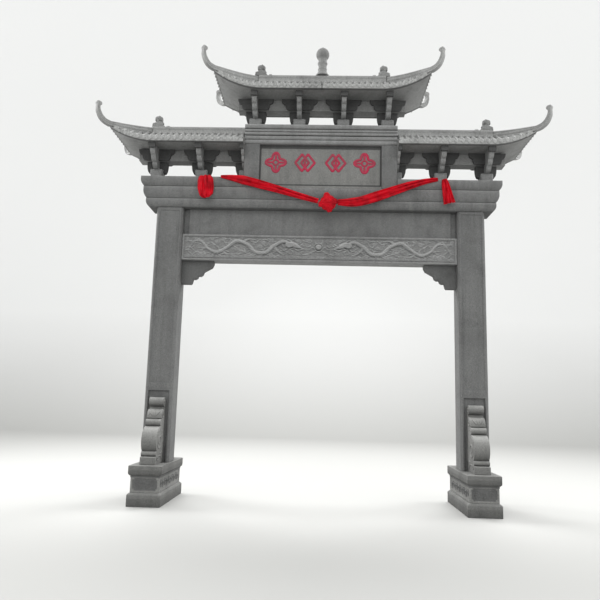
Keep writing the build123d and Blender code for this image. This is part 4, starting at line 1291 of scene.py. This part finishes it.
# Carving on the bases
def scroll_carving(patches, place):
    """Volutes on the side of a scroll stone, in its own (distance from the pillar's middle plane, height):
    a large one on the belly, smaller ones on the shoulder and the top curl, and lines that link them."""
    for center, radius, turns, start, width in (
            ((0.415, 0.945), 0.132, -1.6, 0.5, 0.026), ((0.292, 1.345), 0.052, -1.4, 0.6, 0.018),
            ((0.236, 1.550), 0.050, -1.3, 0.9, 0.016), ((0.500, 0.690), 0.040, -1.2, 2.2, 0.014)):
        add_stroke(patches, spiral(center, radius, turns, start), place, width, 0.009, 0.4)
    for points, width in (
            ([(0.560, 0.960), (0.520, 1.080), (0.440, 1.135), (0.340, 1.140)], 0.022),
            ([(0.300, 0.960), (0.270, 1.080), (0.250, 1.200), (0.215, 1.300)], 0.022),
            ([(0.400, 1.225), (0.360, 1.245), (0.300, 1.240)], 0.018),
            ([(0.350, 1.310), (0.330, 1.380), (0.280, 1.410), (0.230, 1.415)], 0.016),
            ([(0.240, 0.620), (0.300, 0.700), (0.380, 0.720), (0.470, 0.710)], 0.020),
            ([(0.240, 0.800), (0.300, 0.760), (0.360, 0.756)], 0.018),
            ([(0.200, 0.980), (0.215, 0.860), (0.200, 0.740)], 0.018)):
        add_stroke(patches, through(points, 26), place, width, 0.008, 0.6)


def leaf_carving(patches, face, x, foot):
    """Three leaves on the rounded shoulder of a scroll stone, which follow its arc: lines in (across,
    along) that are laid over the arc's height and reach."""
    t = np.linspace(0, 1, 40)
    shoulder_y, shoulder_z = (arc(*SHOULDER, 0, 78, 40) + np.array([0, foot])).T

    def place(u, v, out):
        """Across the stone, along the shoulder from 0 to 1, and out from it."""
        y, z = np.interp(v, t, shoulder_y), np.interp(v, t, shoulder_z)
        return np.stack([x + u, face * (y + out), z], axis=-1)

    for lean in (-1, 0, 1):
        line = through([(0.018 * lean, 0.06), (0.060 * lean, 0.45), (0.085 * lean, 0.88)], 18)
        add_stroke(patches, line, place, 0.030, 0.010, 0.8)
    for lean in (-1, 1):
        line = through([(0.10 * lean, 0.10), (0.085 * lean, 0.30), (0.100 * lean, 0.5)], 14)
        add_stroke(patches, line, place, 0.018, 0.008, 0.7)


def cloud_row(patches, place, start, end, middle, size):
    """A row of linked cloud scrolls along a sunk panel, turned up and down by turns."""
    count = max(1, round((end - start) / (2.6 * size)))
    step = (end - start) / count
    for index in range(count):
        center = start + (index + 0.5) * step
        way = 1 if index % 2 else -1
        scroll = spiral((center, middle), size, 1.5 * way, 0.4 + way * 1.1)
        tail = through([(center + share * step, middle - way * drop * size)
                        for share, drop in ((-0.5, 0.5), (-0.1, 1.25), (0.5, 0.7))], 20)
        add_stroke(patches, scroll, place, 0.28 * size, 0.008, 0.3)
        add_stroke(patches, tail, place, 0.22 * size, 0.007, 0.6)


class GATEWAY_OT_base_carving(bpy.types.Operator):
    """Carves volutes and leaves on the scroll stones, and clouds in the sunk panels of the dies"""
    bl_idname = "gateway.base_carving"
    bl_label = "Carve the bases"

    def execute(self, context):
        sink, ground, inset, shade_thickness, cap_shadow_height = 0.012, 0.0015, 0.034, 0.004, 0.022
        for name in SIDES:
            scrolls, dies, dark = Patches(), Patches(), Patches()
            for end, face in FACES.items():
                low, high = box_of(f"scroll_stone_{end}_{name}")
                for turn, level in ((-1, low[0]), (1, high[0])):
                    scroll_carving(scrolls, on_side(turn, level, face))
                leaf_carving(scrolls, face, (low[0] + high[0]) / 2, low[2])
            low, high = box_of(f"base_die_{name}")
            middle = (low + high) / 2
            # Painted shadow: a band of shaded stone round the top of the die, under the cap.
            add_box(dark, (low[0] - shade_thickness, low[1] - shade_thickness, high[2] - cap_shadow_height),
                    (high[0] + shade_thickness, high[1] + shade_thickness, high[2]))
            half = (high - low)[[0, 2]] / 2 - inset
            notch = np.array([(1, 0.8), (0.88, 0.8), (0.88, 1)]) * half
            outline = np.concatenate([notch, notch[::-1] * (-1, 1), notch * (-1, -1), notch[::-1] * (1, -1)])
            # Painted shade: a thin plate of shaded stone on the floor of each sunk front panel.
            for face in FACES.values():
                add_prism(dark, outline + middle[[0, 2]], face * (high[1] - sink - shade_thickness),
                          face * (high[1] - sink + ground), 1)
            for turn, level in ((-1, low[0] + sink), (1, high[0] - sink)):
                cloud_row(dies, on_side(turn, level), low[1] + 0.08, high[1] - 0.08, middle[2], 0.048)
            for face in FACES.values():
                place = on_front(face, high[1] - sink)
                cloud_row(dies, place, low[0] + 0.06, high[0] - 0.06, middle[2], 0.046)
            scrolls.piece(f"scroll_carving_{name}", 60, "scroll_stone", "base_stone")
            # The clouds in shaded stone are painted shade in the sunk panels.
            dies.piece(f"die_carving_{name}", 60, "shaded_stone", "base_stone")
            dark.piece(f"die_grooves_{name}", 60, "shaded_stone", "base_stone")
        return {"FINISHED"}


# Cloth
def gathered(line, width, folds, deep, back, drift):
    """A strip gathered along a line of (x, z) points: across it the cloth lies in rounded folds whose depth
    is a sum of sines of the place across; the folds drift along the line and close up where the strip is
    narrow."""
    t = np.linspace(0, 1, len(line))[:, None]
    v = np.linspace(-1, 1, 72)[None, :]
    forward = unit(np.gradient(line, axis=0))
    aside = np.stack([-forward[:, 1], forward[:, 0]], axis=1)
    wave = np.sin(folds * pi * v + drift * np.sin(5 * t + 0.7)) + 0.45 * np.sin(1.7 * folds * pi * v + 4 * t)
    crown = np.sqrt(np.clip(1 - v ** 2, 0, 1))
    full = np.minimum(1, width[:, None] / width.max()) ** 0.6
    depth = deep * full * (0.5 * crown + 0.34 * (1 + wave / 1.45) * crown ** 0.5)
    across = 0.5 * width[:, None] * (v + 0.10 * np.sin(folds * pi * v + 2 * t) * crown)
    x = line[:, :1] + across * aside[:, :1]
    z = line[:, 1:] + across * aside[:, 1:]
    return np.stack([x, -(back + 0.003 + depth), z], axis=-1)


def hang_strip(name, side, flat, count, line, widths, folds, deep, drift, back):
    """One gathered sheet on the beam, along a few (x, z) points and with widths at (share of the way,
    width). Its own coordinates are metres on the flat cloth: across, and along by the summed steps down its
    middle."""
    share, width = zip(*widths)
    width = np.interp(np.linspace(0, 1, count), share, width)
    points = gathered(through(line, count), width, folds, deep, back, drift)
    patches = Patches()
    patches.grid(points)
    mesh = patches.mesh(name, 180, outward=False)
    columns = points.shape[1]
    steps = np.linalg.norm(np.diff(points[:, columns // 2], axis=0), axis=1)
    lengths = np.concatenate([[0], np.cumsum(steps)])
    lay_pattern(mesh, spread(np.linspace(0, flat[0], columns), lengths[:, None]).reshape(-1, 2))
    piece = new_piece(name, mesh, finish("red_cloth"), (f"cloth_{side}",))


def rosette(center, radius, back):
    """A knotted flower of cloth: three rounds of folded petals about a knot. A petal is a strip from the
    knot to its tip, bowed outwards, wider in the middle, with a fold down its length. The petal that points
    up is longer."""
    strips = []
    v = np.linspace(0, 1, 16)[:, None]
    u = np.linspace(-1, 1, 11)[None, :]
    outer = 8
    for count, reach, wide, rise, turn in ((outer, 1.0, 0.44, 0.40, 0.20), (7, 0.80, 0.42, 0.62, 0.55),
                                           (5, 0.52, 0.40, 0.80, 0.1)):
        for index in range(count):
            angle = turn + 2 * pi * index / count
            long = radius * reach * (1 + 0.10 * sin(3.1 * index + turn * 9))
            if count == outer and abs((angle % (2 * pi)) - pi / 2) < 0.4:
                long *= 1.14
            across = radius * wide * u * np.sin(pi * (0.12 + 0.80 * v)) ** 0.6
            out = 0.010 + radius * rise * (np.sin(pi * np.clip(0.15 + 0.75 * v, 0, 1)) ** 0.8)
            out = out * (1 - 0.35 * np.abs(u) ** 1.5) + 0.008 * np.sin(2.5 * pi * u + index)
            along = 0.010 + long * v
            strips.append(spread(center[0] + along * cos(angle) - across * sin(angle), -(back + out),
                                 center[1] + along * sin(angle) + across * cos(angle)))
    return strips


class GATEWAY_OT_cloth(bpy.types.Operator):
    """Hangs the red cloth: two gathered swags, a knotted flower and a tail at each side"""
    bl_idname = "gateway.cloth"
    bl_label = "Hang the cloth"

    def execute(self, context):
        back = -box_of("cloth_left")[1][1]
        hang_strip("swag_left", "left", (0.21, 1.75), 120,
                   [(-1.66, 5.300), (-1.45, 5.272), (-1.243, 5.232), (-0.96, 5.160), (-0.679, 5.085),
                    (-0.34, 4.985), (-0.020, 4.895)],
                   [(0, 0.045), (0.12, 0.090), (0.3, 0.145), (0.5, 0.140), (0.75, 0.112), (1, 0.085)],
                   2.4, 0.060, 1.3, back)
        hang_strip("swag_right", "right", (0.23, 1.80), 120,
                   [(0.300, 4.880), (0.49, 4.880), (0.675, 4.905), (0.89, 4.972), (1.1, 5.047), (1.32, 5.128),
                    (1.525, 5.200), (1.74, 5.262), (1.95, 5.300)],
                   [(0, 0.095), (0.15, 0.150), (0.4, 0.172), (0.7, 0.140), (0.9, 0.088), (1, 0.060)],
                   2.9, 0.060, 1.8, back)
        hang_strip("tail_left", "left", (0.40, 0.42), 70,
                   [(-1.925, 5.300), (-1.915, 5.20), (-1.905, 5.08), (-1.890, 4.98), (-1.875, 4.925)],
                   [(0, 0.215), (0.15, 0.262), (0.45, 0.272), (0.75, 0.225), (0.92, 0.135), (1, 0.060)],
                   3.2, 0.072, 1.3, back)
        hang_strip("tail_right", "right", (0.27, 0.45), 70,
                   [(2.060, 5.300), (2.085, 5.18), (2.115, 5.02), (2.143, 4.880)],
                   [(0, 0.085), (0.2, 0.120), (0.6, 0.165), (1, 0.200)],
                   3.4, 0.072, 0.8, back)

        patches = Patches()
        for strip in rosette((0.142, 4.862), 0.138, back):
            patches.grid(strip)
        add_blob(patches, (0.142, -(back + 0.090), 4.868), (0.046, 0.040, 0.046), 0.9)
        mesh = patches.mesh("cloth_rosette", 180, outward=False)
        lay_pattern(mesh, points_of(mesh)[:, (0, 2)])
        flower = new_piece(mesh.name, mesh, finish("red_cloth"), ("cloth_flower",))
        return {"FINISHED"}


# Stage
# Each lamp: its place, the width of its disc, and its power in watts; all point at the gateway's middle
LAMPS = {
    "key": ((-7, -11, 14), 9, 330),
    "fill": ((9, -12, 8), 8, 180),
    "back_left": ((-6, 8, 16), 7, 1700),
    "back_right": ((6, 8, 16), 7, 1600),
    "side_left": ((-9, 2, 8.2), 4, 560),
    "side_right": ((9, 2, 8.2), 4, 370),
}


def add_floor(scene):
    """A pale floor that bends up into a backdrop: a line of level, quarter circle and upright, carried
    along X. The camera sees it paler than the light that it throws back on the stone."""
    half_width, bend_start, bend_radius = 30, 16, 6
    across = np.linspace(-half_width, half_width, 7)
    bend = np.linspace(0, pi / 2, 13)
    run = np.concatenate([[-26.0, 4.0], bend_start + bend_radius * np.sin(bend), [bend_start + bend_radius]])
    rise = np.concatenate([[0.0, 0.0], bend_radius * (1 - np.cos(bend)), [34.0]])
    patches = Patches()
    patches.grid(spread(across[None, :], run[:, None], rise[:, None]))
    mesh = patches.mesh("floor", 60, outward=False)
    material, tree, shader, add = nodes_of("pale_floor")
    seen = add("LightPath").outputs["Is Camera Ray"]
    level = add("SeparateXYZ", {0: add("TexCoord").outputs["Object"]}).outputs["Z"]
    height = add("MapRange", {"Value": level}, From_Max=float(bend_radius)).outputs[0]
    pale = shade_mix(add, (0.44, 0.44, 0.43), (0.80, 0.80, 0.80), height)
    tree.links.new(shade_mix(add, (0.45, 0.45, 0.44), pale, seen), shader.inputs["Base Color"])
    shader.inputs["Roughness"].default_value = 0.9
    mesh.materials.append(material)
    floor = bpy.data.objects.new("floor", mesh)
    scene.collection.objects.link(floor)


def add_lights(scene):
    """Soft light from all round, and the lamps, each turned to face the middle of the gateway."""
    middle = Vector((0, 0, 4))
    world = bpy.data.worlds.new("studio")
    world.use_nodes = True
    background = world.node_tree.nodes["Background"]
    background.inputs["Color"].default_value = (0.99, 1.0, 0.99, 1)
    background.inputs["Strength"].default_value = 1.20
    scene.world = world
    for name, (place, size, power) in LAMPS.items():
        lamp = bpy.data.lights.new(name, "AREA")
        lamp.shape = "DISK"
        lamp.size = size
        lamp.energy = power
        light = bpy.data.objects.new(name, lamp)
        light.location = place
        light.rotation_euler = (middle - Vector(place)).to_track_quat("-Z", "Y").to_euler()
        scene.collection.objects.link(light)


def add_camera(scene):
    """The camera of the photograph, solved from the gateway's level and upright lines. Its shifts are
    pixels of the photograph, as shares of its width."""
    photo_width = 600
    pitch, yaw, roll = radians(8.985), radians(1.924), radians(1.504)
    right = Vector((cos(yaw), sin(yaw), 0))
    ahead = Vector((-sin(yaw), cos(yaw), 0))
    look = cos(pitch) * ahead + sin(pitch) * Vector((0, 0, 1))
    upward = -sin(pitch) * ahead + cos(pitch) * Vector((0, 0, 1))
    camera_x = cos(roll) * right + sin(roll) * upward
    camera_y = -sin(roll) * right + cos(roll) * upward
    view = Matrix((camera_x, camera_y, -look)).transposed().to_4x4()
    view.translation = (0.0583, -9.9831, 1.6429)
    lens = bpy.data.cameras.new("photo_view")
    lens.sensor_width = 36
    lens.lens = 36.305
    lens.shift_x = -0.76 / photo_width
    lens.shift_y = 3.72 / photo_width
    lens.clip_end = 200
    camera = bpy.data.objects.new("photo_view", lens)
    camera.matrix_world = view
    scene.collection.objects.link(camera)
    scene.camera = camera


class GATEWAY_OT_stage(bpy.types.Operator):
    """Sets the pale floor and backdrop, the soft lights and the camera at the photograph's angle"""
    bl_idname = "gateway.stage"
    bl_label = "Set the stage"

    def execute(self, context):
        add_floor(context.scene)
        add_lights(context.scene)
        add_camera(context.scene)
        context.scene.view_settings.view_transform = "Standard"
        return {"FINISHED"}


class GATEWAY_PT_panel(bpy.types.Panel):
    """Lists the gateway's settings and its steps"""
    bl_idname = "GATEWAY_PT_panel"
    bl_label = "Stone Gateway"
    bl_space_type = "VIEW_3D"
    bl_region_type = "UI"
    bl_category = "Gateway"

    def draw(self, context):
        for group in GROUPS:
            settings = getattr(context.scene, group)
            box = self.layout.box()
            for key in settings.__annotations__:
                box.prop(settings, key)
        for step in STEPS:
            self.layout.operator(step.bl_idname)


GROUPS = {"gateway_finish": GatewayFinish, "gateway_tiles": GatewayTiles, "gateway_carving": GatewayCarving}
STEPS = (
    GATEWAY_OT_stage, GATEWAY_OT_roofs, GATEWAY_OT_ridges, GATEWAY_OT_plain_stone, GATEWAY_OT_bracket_sets,
    GATEWAY_OT_cornice, GATEWAY_OT_name_panel, GATEWAY_OT_beasts, GATEWAY_OT_finial, GATEWAY_OT_motifs,
    GATEWAY_OT_lintel_relief, GATEWAY_OT_scroll_stones, GATEWAY_OT_base_carving, GATEWAY_OT_cloth,
)


def register():
    for name, group in GROUPS.items():
        bpy.utils.register_class(group)
        setattr(bpy.types.Scene, name, bpy.props.PointerProperty(type=group))
    for kind in (*STEPS, GATEWAY_PT_panel):
        bpy.utils.register_class(kind)


def unregister():
    for kind in (GATEWAY_PT_panel, *reversed(STEPS)):
        bpy.utils.unregister_class(kind)
    for name, group in GROUPS.items():
        delattr(bpy.types.Scene, name)
        bpy.utils.unregister_class(group)


def main():
    """Registers the classes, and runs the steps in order."""
    register()
    for step in STEPS:
        group, name = step.bl_idname.split(".")
        getattr(getattr(bpy.ops, group), name)()


if __name__ == "__main__":
    main()
